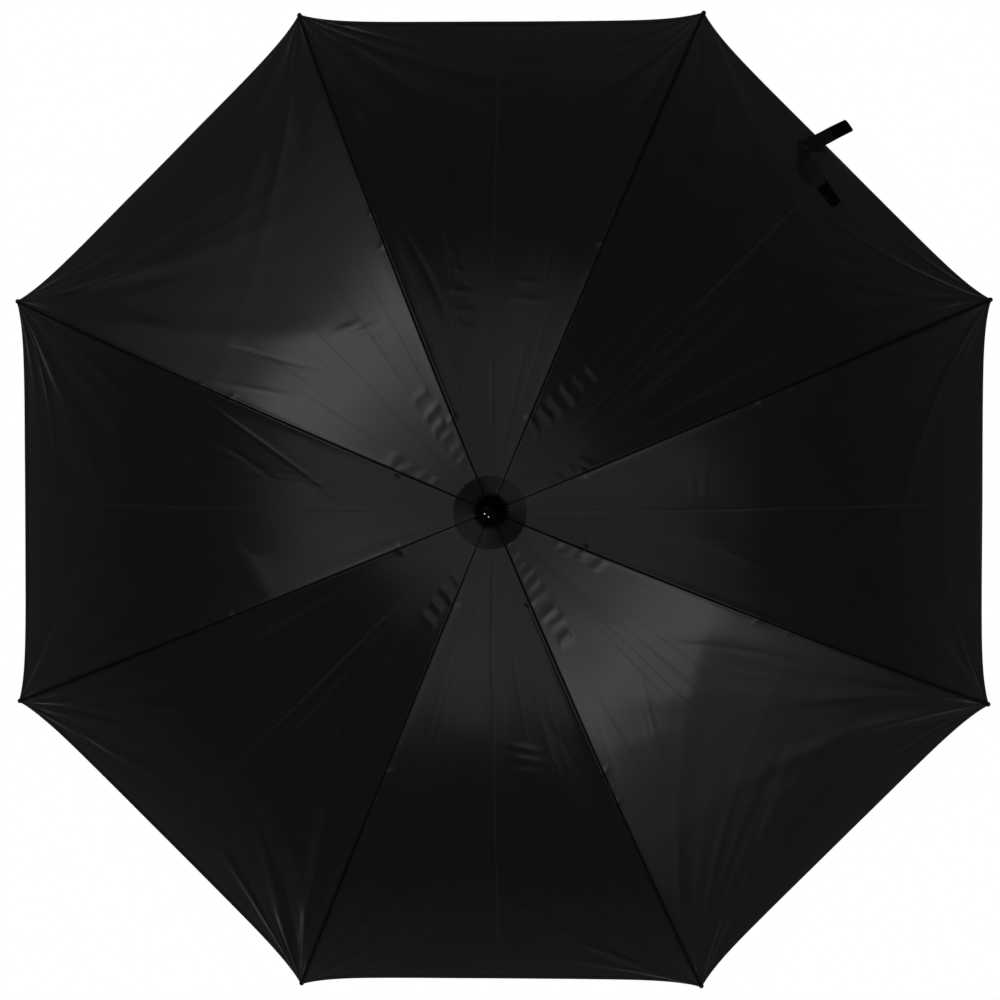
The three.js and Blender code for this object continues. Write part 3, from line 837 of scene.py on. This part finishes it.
ROSETTE_RADIUS = 40.6
ROSETTE_TEETH = 40
ROSETTE_SHIFT = 1.8
SHIFT_AZIMUTH = math.radians(229)
ROSETTE_HOLE = 9.0
ROSETTE_LIFT = 1.25
ROSETTE_THICKNESS = 0.4
ROSETTE_GRID = 22
ROSETTE_SEED = 77
PINKING = 0.9


def rosette_sector(gore, first):
    """One sixteenth of the cloth washer over the crown."""
    rib, side, body = half_parts(gore, first)
    middle = azimuth_of_rib(gore) + HALF_GORE
    fraction = np.linspace(0, 1, ROSETTE_GRID)[None, :]
    turn = side * HALF_GORE * (1 - fraction)
    azimuth = middle + turn
    pinked = PINKING * 2 * np.abs(((azimuth * ROSETTE_TEETH / (2 * np.pi)) % 1) - 0.5)
    outer = ROSETTE_RADIUS - PINKING + pinked + ROSETTE_SHIFT * np.cos(azimuth - SHIFT_AZIMUTH)
    along = np.linspace(0, 1, ROSETTE_GRID)[:, None] ** 0.9
    radius = ROSETTE_HOLE + along * (outer - ROSETTE_HOLE)
    arc = arc_at_radius(radius * np.cos(turn) / math.cos(HALF_GORE))
    base = bow(arc)[1] + CLOTH_LIFT + ROSETTE_LIFT
    draw = np.random.default_rng(ROSETTE_SEED).uniform
    crumple = np.zeros_like(radius)
    for folds in (5, 9, 14):
        shift = draw(0, 2 * np.pi)
        crumple = crumple + 0.16 * np.sin(folds * azimuth + shift + radius / 9)
    from_rib = radius * np.sin(HALF_GORE - np.abs(turn))
    crumple = crumple * smooth((radius - 12) / 14)
    ridge = 0.9 * bump(from_rib, 0, 3.0) - 0.7 * bump(from_rib, 0, 0.7)
    lifted = 0.7 * smooth((radius - 30) / 9) * (0.5 + 0.5 * np.sin(3 * azimuth + 1.0))
    z = base + crumple + ridge + lifted
    points = np.stack([radius * np.cos(turn), radius * np.sin(turn), z], axis=-1)
    piece = spoke_sheet(f"rosette_over_{body}", points, middle, ROSETTE_CLOTH, flip=side < 0)
    set_uv(piece, spoke_to_row(points.reshape(-1, 3), middle)[:, :2] * MM)
    # Painted shade: the washer is painted darker and duller towards azimuths 135 and 315 degrees, where
    # its sheen is weaker, and along the ribs over the seam.
    painted_shade_by_azimuth = 0.5 - 0.5 * np.sin(2 * azimuth)
    seam = 0.6 * bump(from_rib, 0, 0.6) + 0.45 * painted_shade_by_azimuth + 0.04
    make_cloth(piece, ROSETTE_THICKNESS, np.clip(seam, 0, 1))
    follow_cloth(piece)
    return stand_for(piece, "outer_rosette")


for gore_number in range(1, RIB_COUNT + 1):
    rosette_sector(gore_number, True)
    rosette_sector(gore_number, False)

# ---------------- top cap

CAP_DOME = 16.6
CAP_SKIRT = 20.2
CAP_TEETH = 28
TOOTH_DEPTH = 3.2
SKIRT_TOP = 8.4


def top_cap():
    """A glossy dome over a skirt of moulded teeth."""
    height = TOP - CROWN_Z
    profile = [(0, 16.6), (7.4, 16.6), (7.4, 6.9), (CAP_DOME - 1.0, 5.5), (CAP_DOME, 5.4)]
    profile += [(17.6, 5.35), (19.0, 5.3), (20.0, 5.4), (CAP_SKIRT, 5.9), (20.1, 6.6), (19.3, 7.3)]
    profile += [(18.2, 7.9), (17.0, 8.3), (CAP_DOME, 8.8), (16.45, 9.6), (16.35, 10.6)]
    wall_top = 11.0
    steps = 16
    for i in range(steps):
        angle = i / steps * math.pi / 2
        profile.append((16.3 * math.cos(angle), wall_top + (height - wall_top) * math.sin(angle)))
    profile.append((0, height))

    def toothed(radius, z, angles):
        if radius <= CAP_DOME + 0.2 or z > SKIRT_TOP:
            return np.full(len(angles), radius)
        share = (radius - CAP_DOME) / (CAP_SKIRT - CAP_DOME)
        wave = 0.5 + 0.5 * np.cos(angles * CAP_TEETH)
        tooth = smooth((wave - 0.66) * 4)
        return radius - share * TOOTH_DEPTH * (1 - tooth)

    cap = lathe("top_cap_dome", profile, POLISHED_CAP, CAP_TEETH * 16, CROWN_Z, toothed)
    sharpen(cap, 50)
    return ride(cap, "frame", ["top_cap"])


cap_dome = top_cap()

# ---------------- shaft, crown notch and runner

SHAFT_BORE = 6.0
CATCH_SLOT = (3.8, 6, 24.5)
SLIDING_GAP = 0.35
SLOT_WIDTH = 2.8
SLOT_FROM = 9.0
FLANGE = 15.0
WIRE_RADIUS = 0.6


def tube_ring(inner, outer, low, high):
    return [(inner, low), (outer, low), (outer, high), (inner, high), (inner, low)]


def catch_openings():
    """Boxes that cut the two catch slots in the shaft, on its -Y side."""
    tools = []
    for name in ("top_catch", "bottom_catch"):
        low, high = box_mm(name)
        middle = (low[2] + high[2]) / 2
        shift = 0.8 if name == "top_catch" else -0.8
        tools.append(box_tool(CATCH_SLOT, (0, -SHAFT_BORE - 0.5, middle + shift)))
    return tools


def shaft():
    """A coated steel tube with a slot for each spring catch."""
    low, high = box_mm("shaft")
    profile = rounded(tube_ring(SHAFT_BORE, SHAFT_RADIUS, low[2], high[2]), 0.3)
    tube = lathe("shaft_tube", profile, BLACK_STEEL, 64)
    carve(tube, catch_openings())
    return ride(tube, "frame", ["shaft"])


def blade_slot_tools(low, high, height):
    """Cutters for the eight slots in a flange, one for each rib or stretcher."""
    middle = (low + high) / 2 + height
    reach = FLANGE + 2 - SLOT_FROM
    size, centre = (reach, SLOT_WIDTH, high - low), (SLOT_FROM + reach / 2, 0, middle)
    return [box_tool(size, centre, azimuth_of_rib(k + 1)) for k in range(RIB_COUNT)]


def slotted_ring(name, profile, slots, height, tools=()):
    ring = lathe(name, rounded(profile + [profile[0]], 0.35), MOULDED, 96, height)
    carve(ring, [*tools, *blade_slot_tools(*slots, height)])
    return soften(ring, 0.15)


def crown_notch():
    """The slotted ring on the shaft that holds the upper ends of the ribs."""
    inner = SHAFT_RADIUS + SLIDING_GAP
    profile = [
        (inner, -9), (SLOT_FROM, -9), (SLOT_FROM + 1, -5), (FLANGE, -5), (FLANGE, 2.6),
        (PIVOT_RADIUS + 1, 2.6), (PIVOT_RADIUS + 1, -1), (PIVOT_RADIUS - 1, -1),
        (PIVOT_RADIUS - 1, 2.6), (SLOT_FROM, 2.6), (SLOT_FROM - 0.4, 5), (inner, 5),
    ]
    ring = slotted_ring("crown_notch_ring", profile, (-12, 8), CROWN_Z)
    return ride(ring, "frame", ["crown_notch"])


def runner():
    """The sleeve that slides on the shaft, with grip rings and a slotted flange for the stretchers."""
    inner = SHAFT_RADIUS + SLIDING_GAP
    foot = -62.0
    barrel = 10.2
    profile = [(inner, foot), (10.6, foot), (11.4, foot + 0.8), (11.4, foot + 7), (barrel, foot + 9)]
    for ring in range(5):
        z = foot + 14 + ring * 5.2
        profile += [(barrel, z), (barrel - 0.45, z + 0.7), (barrel - 0.45, z + 1.6), (barrel, z + 2.3)]
    profile += [
        (barrel, -9), (FLANGE, -5), (FLANGE, 3), (PIVOT_RADIUS + 1, 3), (PIVOT_RADIUS + 1, -1),
        (PIVOT_RADIUS - 1, -1), (PIVOT_RADIUS - 1, 3), (inner, 3),
    ]
    window = box_tool((5, 10, 31), (0, -10, RUNNER_Z - 34.5))
    ring = slotted_ring("runner_sleeve", profile, (-2.9, 6), RUNNER_Z, [window])
    return ride(ring, "runner", ["runner"])


def wire_ring(name, height, body, cad_node):
    """Soft iron wire that threads the eyes of ribs or stretchers."""
    profile = [
        (PIVOT_RADIUS + WIRE_RADIUS * math.cos(angle), WIRE_RADIUS * math.sin(angle))
        for angle in np.arange(10) * 2 * math.pi / 10
    ]
    ring = lathe(name, profile + profile[:1], BRIGHT_STEEL, 128, height)
    return ride(ring, body, [cad_node])


shaft()
crown_notch()
runner()
wire_ring("crown_wire_ring", CROWN_Z, "frame", "crown_wire")
wire_ring("runner_wire_ring", RUNNER_Z, "runner", "runner_wire")

# ---------------- ribs, rib joints and tips


def rod_points(s, radius, sides, azimuth):
    """Rings of points round the rib's bow at the arc lengths s."""
    angles = np.arange(sides) * 2 * math.pi / sides
    centre_r, centre_z, slope = bow(np.asarray(s, float))
    out = np.cos(angles)[None, :] * radius
    side = np.sin(angles)[None, :] * radius
    points = np.stack([
        centre_r[:, None] + out * np.sin(slope)[:, None],
        side + 0 * out + 0 * centre_r[:, None],
        centre_z[:, None] + out * np.cos(slope)[:, None],
    ], axis=-1)
    return spoke_to_row(points, azimuth)


def closed_tube(name, rings, material):
    """A tube through rings of points, closed at both ends."""
    count, sides, _ = rings.shape
    vertices = rings.reshape(-1, 3)
    faces = grid_faces(count, sides, wrap=True)
    faces.append(list(range(sides)))
    faces.append([(count - 1) * sides + j for j in range(sides)])
    return face_out(new_object(name, vertices, faces, material))


def eye_outline(length, half_height, eye, steps=14):
    """Outline of a blade in x and z, with a round eye about the origin."""
    side = math.asin(half_height / eye)
    points = [(length, -half_height), (length, half_height)]
    for i in range(steps + 1):
        a = side + i / steps * (2 * math.pi - 2 * side)
        points.append((eye * math.cos(a), eye * math.sin(a)))
    return points


def holed_blade(length, half_height, eye, hole, thickness, steps=20):
    """A flat blade in the plane y = 0 with a hole at the origin: (vertices, faces)."""
    outline = eye_outline(length, half_height, eye, steps)
    mesh = bmesh.new()
    edges = []
    around = np.linspace(0, 2 * math.pi, 20, endpoint=False)
    for points in (outline, [(hole * math.cos(a), hole * math.sin(a)) for a in around]):
        vertices = [mesh.verts.new((x, 0, z)) for x, z in points]
        edges += [mesh.edges.new(pair) for pair in zip(vertices, vertices[1:] + vertices[:1])]
    bmesh.ops.triangle_fill(mesh, edges=edges, use_beauty=True)
    made = bmesh.ops.extrude_face_region(mesh, geom=list(mesh.faces))
    moved = [v for v in made["geom"] if isinstance(v, bmesh.types.BMVert)]
    bmesh.ops.translate(mesh, vec=(0, thickness, 0), verts=moved)
    bmesh.ops.translate(mesh, vec=(0, -thickness / 2, 0), verts=mesh.verts)
    bmesh.ops.recalc_face_normals(mesh, faces=mesh.faces)
    mesh.verts.index_update()
    vertices = np.array([v.co for v in mesh.verts])
    faces = [[v.index for v in f.verts] for f in mesh.faces]
    mesh.free()
    return vertices, faces


def pitched(points, slope, radius, z):
    """Turns points drawn along +x down by slope and moves them to (radius, z) of their spoke."""
    points = np.asarray(points, float)
    out = points.copy()
    out[:, 0] = points[:, 0] * math.cos(slope) + points[:, 2] * math.sin(slope) + radius
    out[:, 2] = -points[:, 0] * math.sin(slope) + points[:, 2] * math.cos(slope) + z
    return out


def rib(number):
    """A bowed glass-fibre rod with a pressed steel eye at its crown end."""
    azimuth = azimuth_of_rib(number)
    rings = rod_points(np.linspace(10, RIB_LENGTH, 90), RIB_RADIUS, 16, azimuth)
    rod = closed_tube(f"rib_{number}_rod", rings, GLASS_FIBRE)
    sharpen(rod, 60)
    ride(rod, f"rib_{number}", [f"rib_{number}"])
    vertices, faces = holed_blade(11.5, 1.5, 2.1, 0.9, 2.2)
    vertices = spoke_to_row(pitched(vertices, CROWN_SLOPE, PIVOT_RADIUS, CROWN_Z), azimuth)
    eye = new_object(f"rib_{number}_crown_eye", vertices, faces, BLACK_STEEL)
    sharpen(eye)
    soften(eye, 0.12)
    ride(eye, f"rib_{number}", [])


def rib_place(number, s):
    """The matrix that turns and moves a piece drawn about the origin to arc length s of a rib."""
    radius, z, slope = bow(s)
    spoke = Matrix.Rotation(azimuth_of_rib(number), 4, "Z")
    return spoke @ Matrix.Translation(Vector((radius, 0, z)) * MM) @ Matrix.Rotation(slope, 4, "Y")


def rib_joint(number):
    """The sleeve on the rib with its two cheeks and pin. The CAD piece has the shape, and it is
    built again here with round edges."""
    azimuth = azimuth_of_rib(number)
    centre_r, centre_z, slope = bow(JOINT_AT)
    inner, outer, half = RIB_RADIUS + 0.25, 3.1, 7.0
    profile = rounded(tube_ring(inner, outer, -half, half), 0.4)
    sleeve = lathe(f"rib_joint_{number}_sleeve", profile, MOULDED, 40)
    place = rib_place(number, JOINT_AT)
    sleeve.data.transform(place @ Matrix.Rotation(math.pi / 2, 4, "Y"))
    ride(sleeve, f"rib_{number}", [f"rib_joint_{number}"])

    vertices, faces = holed_blade(JOINT_DROP - 1.95, 2.2, 2.3, 0.75, 1.2)
    for side in (-1, 1):
        across = vertices[:, 1] + side * 2.1
        cheek = np.stack([vertices[:, 2], across, vertices[:, 0] - JOINT_DROP], axis=-1)
        placed = spoke_to_row(pitched(cheek, slope, centre_r, centre_z), azimuth)
        name = f"rib_joint_{number}_{'left' if side < 0 else 'right'}_cheek"
        piece = face_out(new_object(name, placed, faces, MOULDED))
        sharpen(piece)
        soften(piece, 0.2)
        ride(piece, f"rib_{number}", [])

    head, pin = 1.5, 0.8
    upper = [(pin, 2.7), (head, 2.75), (head, 3.2), (0, 3.3)]
    profile = [(radius, -z) for radius, z in reversed(upper)] + upper
    rivet = lathe(f"rib_joint_{number}_rivet", rounded(profile, 0.25), BRIGHT_STEEL, 24)
    lay = Matrix.Rotation(math.pi / 2, 4, "X")
    drop = Matrix.Translation(Vector((0, 0, -JOINT_DROP)) * MM)
    rivet.data.transform(place @ drop @ lay)
    ride(rivet, f"rib_{number}", [])


def rib_tip(number):
    """The ball-ended cap on the end of a rib."""
    inside = [(0, 0.3), (2.0, 0.3), (2.0, -9.0)]
    profile = inside + [(2.9, -9.0), (3.15, -8.2), (2.95, -4.0), (2.6, -0.4), (2.05, 1.1)]
    ball, centre, neck = 3.05, 3.45, 0.85
    steps = 10
    for i in range(steps + 1):
        angle = -neck + i / steps * (neck + math.pi / 2)
        profile.append((max(0.0, ball * math.cos(angle)), centre + ball * math.sin(angle)))
    profile[-1] = (0, profile[-1][1])
    cap = lathe(f"rib_tip_{number}_ball_cap", profile, GLOSS_PLASTIC, 32)
    cap.data.transform(rib_place(number, RIB_LENGTH) @ Matrix.Rotation(math.pi / 2, 4, "Y"))
    sharpen(cap, 60)
    ride(cap, f"rib_{number}", [f"rib_tip_{number}"])


for rib_number in range(1, RIB_COUNT + 1):
    rib(rib_number)
    rib_joint(rib_number)
    rib_tip(rib_number)

# ---------------- tie strap

STRAP_WIDTH = 17.5
STRAP_GORE = 1
STRAP_AZIMUTH = azimuth_of_rib(STRAP_GORE) + HALF_GORE


def cloth_top(x):
    """Height of the canopy's top at x along the middle line of the strap's gore."""
    return bow(arc_at_radius(x / math.cos(HALF_GORE)))[1] + (CLOTH_LIFT - CLOTH_SAG * 0.4) * 1.35


def catmull(points, steps):
    """Points along a smooth curve through the given ones, and their share of the way."""
    points = np.asarray(points, float)
    padded = np.vstack([2 * points[0] - points[1], points, 2 * points[-1] - points[-2]])
    out = []
    for i in range(1, len(padded) - 2):
        p0, p1, p2, p3 = padded[i - 1:i + 3]
        for k in range(steps):
            t = k / steps
            out.append(0.5 * ((2 * p1) + (p2 - p0) * t + (2 * p0 - 5 * p1 + 4 * p2 - p3) * t * t
                              + (3 * p1 - p0 - 3 * p2 + p3) * t ** 3))
    out.append(padded[-2])
    return np.array(out)


def ribbon(name, stations, material, thickness=1.1, width=STRAP_WIDTH, from_to=(0.0, 1.0), lift=0.0):
    """A flat band through stations of (x, y, rise, roll): rise is above the cloth, and roll turns
    the band about its length, 0 being flat on the cloth."""
    curve = catmull([(x, y, cloth_top(x) + rise, roll) for x, y, rise, roll in stations], 14)
    start, stop = (int(round(share * (len(curve) - 1))) for share in from_to)
    curve = curve[start:stop + 1]
    centre, roll = curve[:, :3], np.radians(curve[:, 3])
    tangent = np.gradient(centre, axis=0)
    tangent /= np.linalg.norm(tangent, axis=1, keepdims=True)
    lean = np.array([0.62, 0, 0.78])
    side = np.cross(np.broadcast_to(lean, tangent.shape), tangent)
    side /= np.linalg.norm(side, axis=1, keepdims=True)
    up = np.cross(tangent, side)
    turned_side = side * np.cos(roll)[:, None] + up * np.sin(roll)[:, None]
    turned_up = np.cross(tangent, turned_side)
    columns = np.linspace(-0.5, 0.5, 13)
    crown = 0.25 * np.cos(columns * math.pi) - 0.35 * bump(np.abs(columns), 0.43, 0.03)
    points = (centre[:, None, :] + turned_side[:, None, :] * (columns * width)[None, :, None]
              + turned_up[:, None, :] * (crown + lift)[None, :, None])
    band = spoke_sheet(name, points, STRAP_AZIMUTH, material)
    run = np.concatenate([[0], np.cumsum(np.linalg.norm(np.diff(centre, axis=0), axis=1))])
    uv = np.stack(np.broadcast_arrays(columns[None, :] * width * MM, run[:, None] * MM), axis=-1)
    set_uv(band, uv.reshape(-1, 2))
    selvedge = 0.5 * bump(np.abs(columns), 0.5, 0.03)
    make_cloth(band, thickness, np.broadcast_to(selvedge, points.shape[:2]), offset=0.0)
    ribbed = band.modifiers.new("smooth", "SUBSURF")
    ribbed.levels = 1
    ribbed.render_levels = 1
    follow_cloth(band)
    return stand_for(band, "tie_strap")


ARM_OVER_HEM = [(560, 46, 1.6, 0), (572, 41, 6, 4), (588, 36, 16, 6), (606, 31, 29, 3), (626, 25, 43, -2)]
ARM_LOOPED = [(566, 50, 1.8, 0), (559, 46, 5, 40), (551, 36, 9, 74), (546, 20, 11, 66), (543, 2, 9, 34),
              (541, -12, 6, 12), (538, -32, 4.5, 4)]

ribbon("tie_strap_arm_over_hem", ARM_OVER_HEM, BAND_CLOTH)
ribbon("tie_strap_arm_looped", ARM_LOOPED, BAND_CLOTH)
PATCH = {"thickness": 1.2, "width": STRAP_WIDTH - 2, "lift": 1.0}
ribbon("tie_strap_hook_patch", ARM_OVER_HEM, HOOKS, from_to=(0.70, 1.0), **PATCH)
ribbon("tie_strap_loop_patch", ARM_LOOPED, HOOKS, from_to=(0.74, 1.0), **PATCH)

# ---------------- grip and end cap


def grip():
    """Foam pushed over the shaft: a long swell between two rolled ends, with grooves for the hand."""
    bottom, top = (corner[2] for corner in box_mm("grip"))
    bore = SHAFT_RADIUS + SLIDING_GAP
    length = top - bottom
    end = 14.2
    profile = [(bore, bottom), (end - 1.2, bottom), (end - 0.4, bottom + 0.8)]
    steps = 70
    for i in range(steps + 1):
        t = i / steps
        radius = end + 2.6 * math.sin(math.pi * t) * (1.2 - 0.5 * t)
        z = bottom + 2.2 + t * (length - 4.4)
        for centre in (0.09, 0.12, 0.88, 0.91):
            radius -= 0.55 * bump(t, centre, 0.006)
        profile.append((radius, z))
    profile += [(end - 0.6, top - 0.9), (end - 1.8, top - 0.2), (end - 2.6, top)]
    profile += [(bore, top), (bore, bottom)]
    foam = lathe("grip_foam", profile, FOAM, 96)
    sharpen(foam, 60)
    return ride(foam, "frame", ["grip"])


def end_cap():
    """A turned foot that closes the grip, on a spigot that goes up into it."""
    radius, height = 14.5, 12.0
    spigot = 5.6
    profile = [
        (0, 0), (radius - 1.7, 0), (radius - 0.5, 0.5), (radius, 1.6), (radius, 4.4), (radius - 0.5, 4.8),
        (radius - 0.5, 5.4), (radius, 5.8), (radius, height - 1), (radius - 0.8, height), (spigot, height),
        (spigot, height + 26), (spigot - 1, height + 28), (0, height + 28),
    ]
    cap = lathe("grip_end_cap", rounded(profile, 0.3), MOULDED, 96)
    sharpen(cap, 40)
    return ride(cap, "frame", ["end_cap"])


grip()
end_cap()

# ---------------- the CAD nodes that stay

# Their material and the width of their rounded edges, by how their names start.
CARRIED = {
    "stretcher": (BLACK_STEEL, 0.12),
    "top_catch": (BRIGHT_STEEL, 0.35),
    "bottom_catch": (BRIGHT_STEEL, 0.35),
}

for name, cad_object in frame["nodes"].items():
    for start, (material, edge_width) in CARRIED.items():
        if name.startswith(start):
            soften(cad_object, edge_width)
            cad_object.data.materials.clear()
            cad_object.data.materials.append(material)

# ---------------- floor, light and camera

# How brightly the floor glows to the object, a painted pool of light, out to what distance from
# its axis, and how softly the glowing part ends.
FLOOR_GLOW = 0.18
GLOW_RADIUS = 1.45
GLOW_FALL = 0.3


def floor():
    """A plain pale floor. The camera sees it evenly white. To the object it glows only round about:
    a painted pool of light, in place of a sheet of paper lit by the lamps."""
    bpy.ops.mesh.primitive_plane_add(size=60, location=(0, 0, -0.001))
    plane = bpy.context.object
    plane.name = "floor"
    material, tree, shader = new_material("pale_floor")
    feed(shader, "Base Color", (0.12, 0.12, 0.12, 1))
    feed(shader, "Roughness", 0.9)
    away = node(tree, "VectorMath", {0: coordinates(tree)}, operation="LENGTH").outputs["Value"]
    ends = (GLOW_RADIUS - GLOW_FALL, GLOW_RADIUS + GLOW_FALL)
    # Painted light: emission, seen only by the object, stands in for the lamps' light on the floor.
    lit = map_range(tree, away, *ends, FLOOR_GLOW, 0.0, "SMOOTHSTEP")
    feed(shader, "Emission Color", (1, 1, 1, 1))
    feed(shader, "Emission Strength", lit)
    camera_ray = node(tree, "LightPath").outputs["Is Camera Ray"]
    glow = node(tree, "Emission", {"Color": (1, 1, 1, 1), "Strength": 1.0})
    mix = node(tree, "MixShader", {"Fac": camera_ray})
    tree.links.new(shader.outputs[0], mix.inputs[1])
    tree.links.new(glow.outputs[0], mix.inputs[2])
    tree.links.new(mix.outputs[0], tree.nodes["Material Output"].inputs["Surface"])
    plane.data.materials.append(material)


# The studio's ceiling, laid out on a plane one unit above the object: `out` runs towards the two
# hot strips, `across` the other way. Brightness is against the white backdrop's 1.
AMBIENT_LIGHT = 0.03
PANEL_LIGHT = 0.29
PANEL_END = 1.6
PANEL_HALF_WIDTH = 0.69
PANEL_SHIFT = 0.08
PANEL_FLARE = 0.31
PANEL_FALL = 0.35
STRIP_LIGHT = 1.18
STRIP_FALL = 0.2
STRIP_START = 0.55
STRIP_FULL = 1.2
STRIP_END = 1.72
STRIP_HALF_WIDTH = 0.52
SPILL_LIGHT = 0.07
SPILL_RISE = 0.5


def softbox_sky(tree, direction):
    """Brightness of the studio by direction: a wide soft panel overhead, with a hot strip at each of
    two ends, towards the upper left and the lower right, and their spill below. The rest is dark."""

    def ease(value, middle, soft, ends=(1.0, 0.0)):
        return map_range(tree, value, middle - soft, middle + soft, *ends, "SMOOTHSTEP")

    x, y, z = node(tree, "SeparateXYZ", {0: direction}).outputs
    height = math_node(tree, "MAXIMUM", z, 0.02)
    diagonal = math.sqrt(0.5)
    out = math_node(tree, "DIVIDE", times(tree, math_node(tree, "SUBTRACT", x, y), diagonal), height)
    out = math_node(tree, "ABSOLUTE", out)
    across = math_node(tree, "DIVIDE", times(tree, math_node(tree, "ADD", x, y), diagonal), height)
    aside = math_node(tree, "ABSOLUTE", math_node(tree, "ADD", across, PANEL_SHIFT))

    width = times_plus(tree, out, -PANEL_FLARE, aside)
    panel = times(tree, ease(out, PANEL_END, 0.1), ease(width, PANEL_HALF_WIDTH, 0.08))
    panel = times(tree, panel, times_plus(tree, across, -PANEL_FALL, 1.0))
    strip = map_range(tree, out, STRIP_START, STRIP_FULL)
    strip = times(tree, strip, ease(out, STRIP_END, 0.06))
    strip = times(tree, strip, ease(aside, STRIP_HALF_WIDTH, 0.28))
    strip = times(tree, strip, times_plus(tree, x, -STRIP_FALL, 1.0))
    spill = times_plus(tree, z, SPILL_RISE / SPILL_LIGHT, 1.0)
    spill = times(tree, spill, ease(out, STRIP_END, 0.06, (0.0, 1.0)))
    spill = times(tree, spill, ease(math_node(tree, "DIVIDE", aside, out), 0.4, 0.3))
    light = times_plus(tree, panel, PANEL_LIGHT, AMBIENT_LIGHT)
    light = times_plus(tree, strip, STRIP_LIGHT, light)
    return times_plus(tree, spill, SPILL_LIGHT, light)


def world():
    """The backdrop is white to the camera, and lights the object as a dim studio with softboxes."""
    made = bpy.data.worlds.new("studio")
    made.use_nodes = True
    tree = made.node_tree
    camera_ray = node(tree, "LightPath").outputs["Is Camera Ray"]
    sky = softbox_sky(tree, coordinates(tree, "Generated"))
    strength = mix_colour(tree, camera_ray, sky, (1, 1, 1))
    tree.links.new(strength, tree.nodes["Background"].inputs["Color"])
    bpy.context.scene.world = made


def area_light(name, place, size, power, shape="RECTANGLE"):
    """A light that faces the object's axis and that the camera doesn't see."""
    light = bpy.data.lights.new(name, "AREA")
    light.shape = shape
    light.size, light.size_y = size
    light.energy = power
    made = add_object(name, light)
    made.location = place
    made.rotation_mode = "QUATERNION"
    made.rotation_quaternion = (made.location - Vector((0, 0, place[2]))).to_track_quat("Z", "Y")
    made.visible_camera = False
    return made


SIDE_DISTANCE, SIDE_HEIGHT, SIDE_SIZE, SIDE_POWER = 2.6, 0.6, (0.45, 1.2), 3.4


def side_light(azimuth):
    """A tall softbox beside the object, in line with a rib. It lights shaft, grip and ribs, and
    doesn't show in what is glossy."""
    a = math.radians(azimuth)
    place = (SIDE_DISTANCE * math.cos(a), SIDE_DISTANCE * math.sin(a), SIDE_HEIGHT)
    made = area_light(f"side_light_{azimuth:.0f}", place, SIDE_SIZE, SIDE_POWER)
    made.visible_glossy = False


LAMP_DISTANCE, LAMP_SIZE, LAMP_POWER = 4, (0.5, 0.5), 330.0
CAP_PLACE = Vector((0, 0, 0.97))


def lamp(name, azimuth, zenith, lit):
    """A small bright lamp, which lights only the objects of the collection lit, as a glint."""
    a, b = math.radians(azimuth), math.radians(zenith)
    way = Vector((math.cos(a) * math.sin(b), math.sin(a) * math.sin(b), math.cos(b)))
    made = area_light(name, CAP_PLACE + way * LAMP_DISTANCE, LAMP_SIZE, LAMP_POWER, "DISK")
    made.rotation_quaternion = way.to_track_quat("Z", "Y")
    made.light_linking.receiver_collection = lit


CAMERA_PLACE = Vector((0.0948, 0.0873, 3.6))
CAMERA_AIM = Vector((-0.0013, 0.0025, 0.60))
CAMERA_LENS = 87.5


def camera():
    """A camera above the crown, a little off the shaft's axis, as in the photograph."""
    data = bpy.data.cameras.new("camera")
    data.sensor_width = 36
    data.lens = CAMERA_LENS
    data.clip_end = 100
    made = add_object("camera", data)
    made.location = CAMERA_PLACE
    back = (CAMERA_PLACE - CAMERA_AIM).normalized()
    right = Vector((0, 1, 0)).cross(back).normalized()
    up = back.cross(right)
    made.rotation_mode = "QUATERNION"
    made.rotation_quaternion = Matrix((right, up, back)).transposed().to_quaternion()
    bpy.context.scene.camera = made


floor()
world()
for side_azimuth in (67.5, 157.5, 247.5, 337.5):
    side_light(side_azimuth)
glinting = bpy.data.collections.new("glinting")
glinting.objects.link(cap_dome)
lamp("left_lamp", 199, 53, glinting)
lamp("lower_lamp", 250, 47, glinting)
camera()
bpy.context.scene.view_settings.view_transform = "Standard"
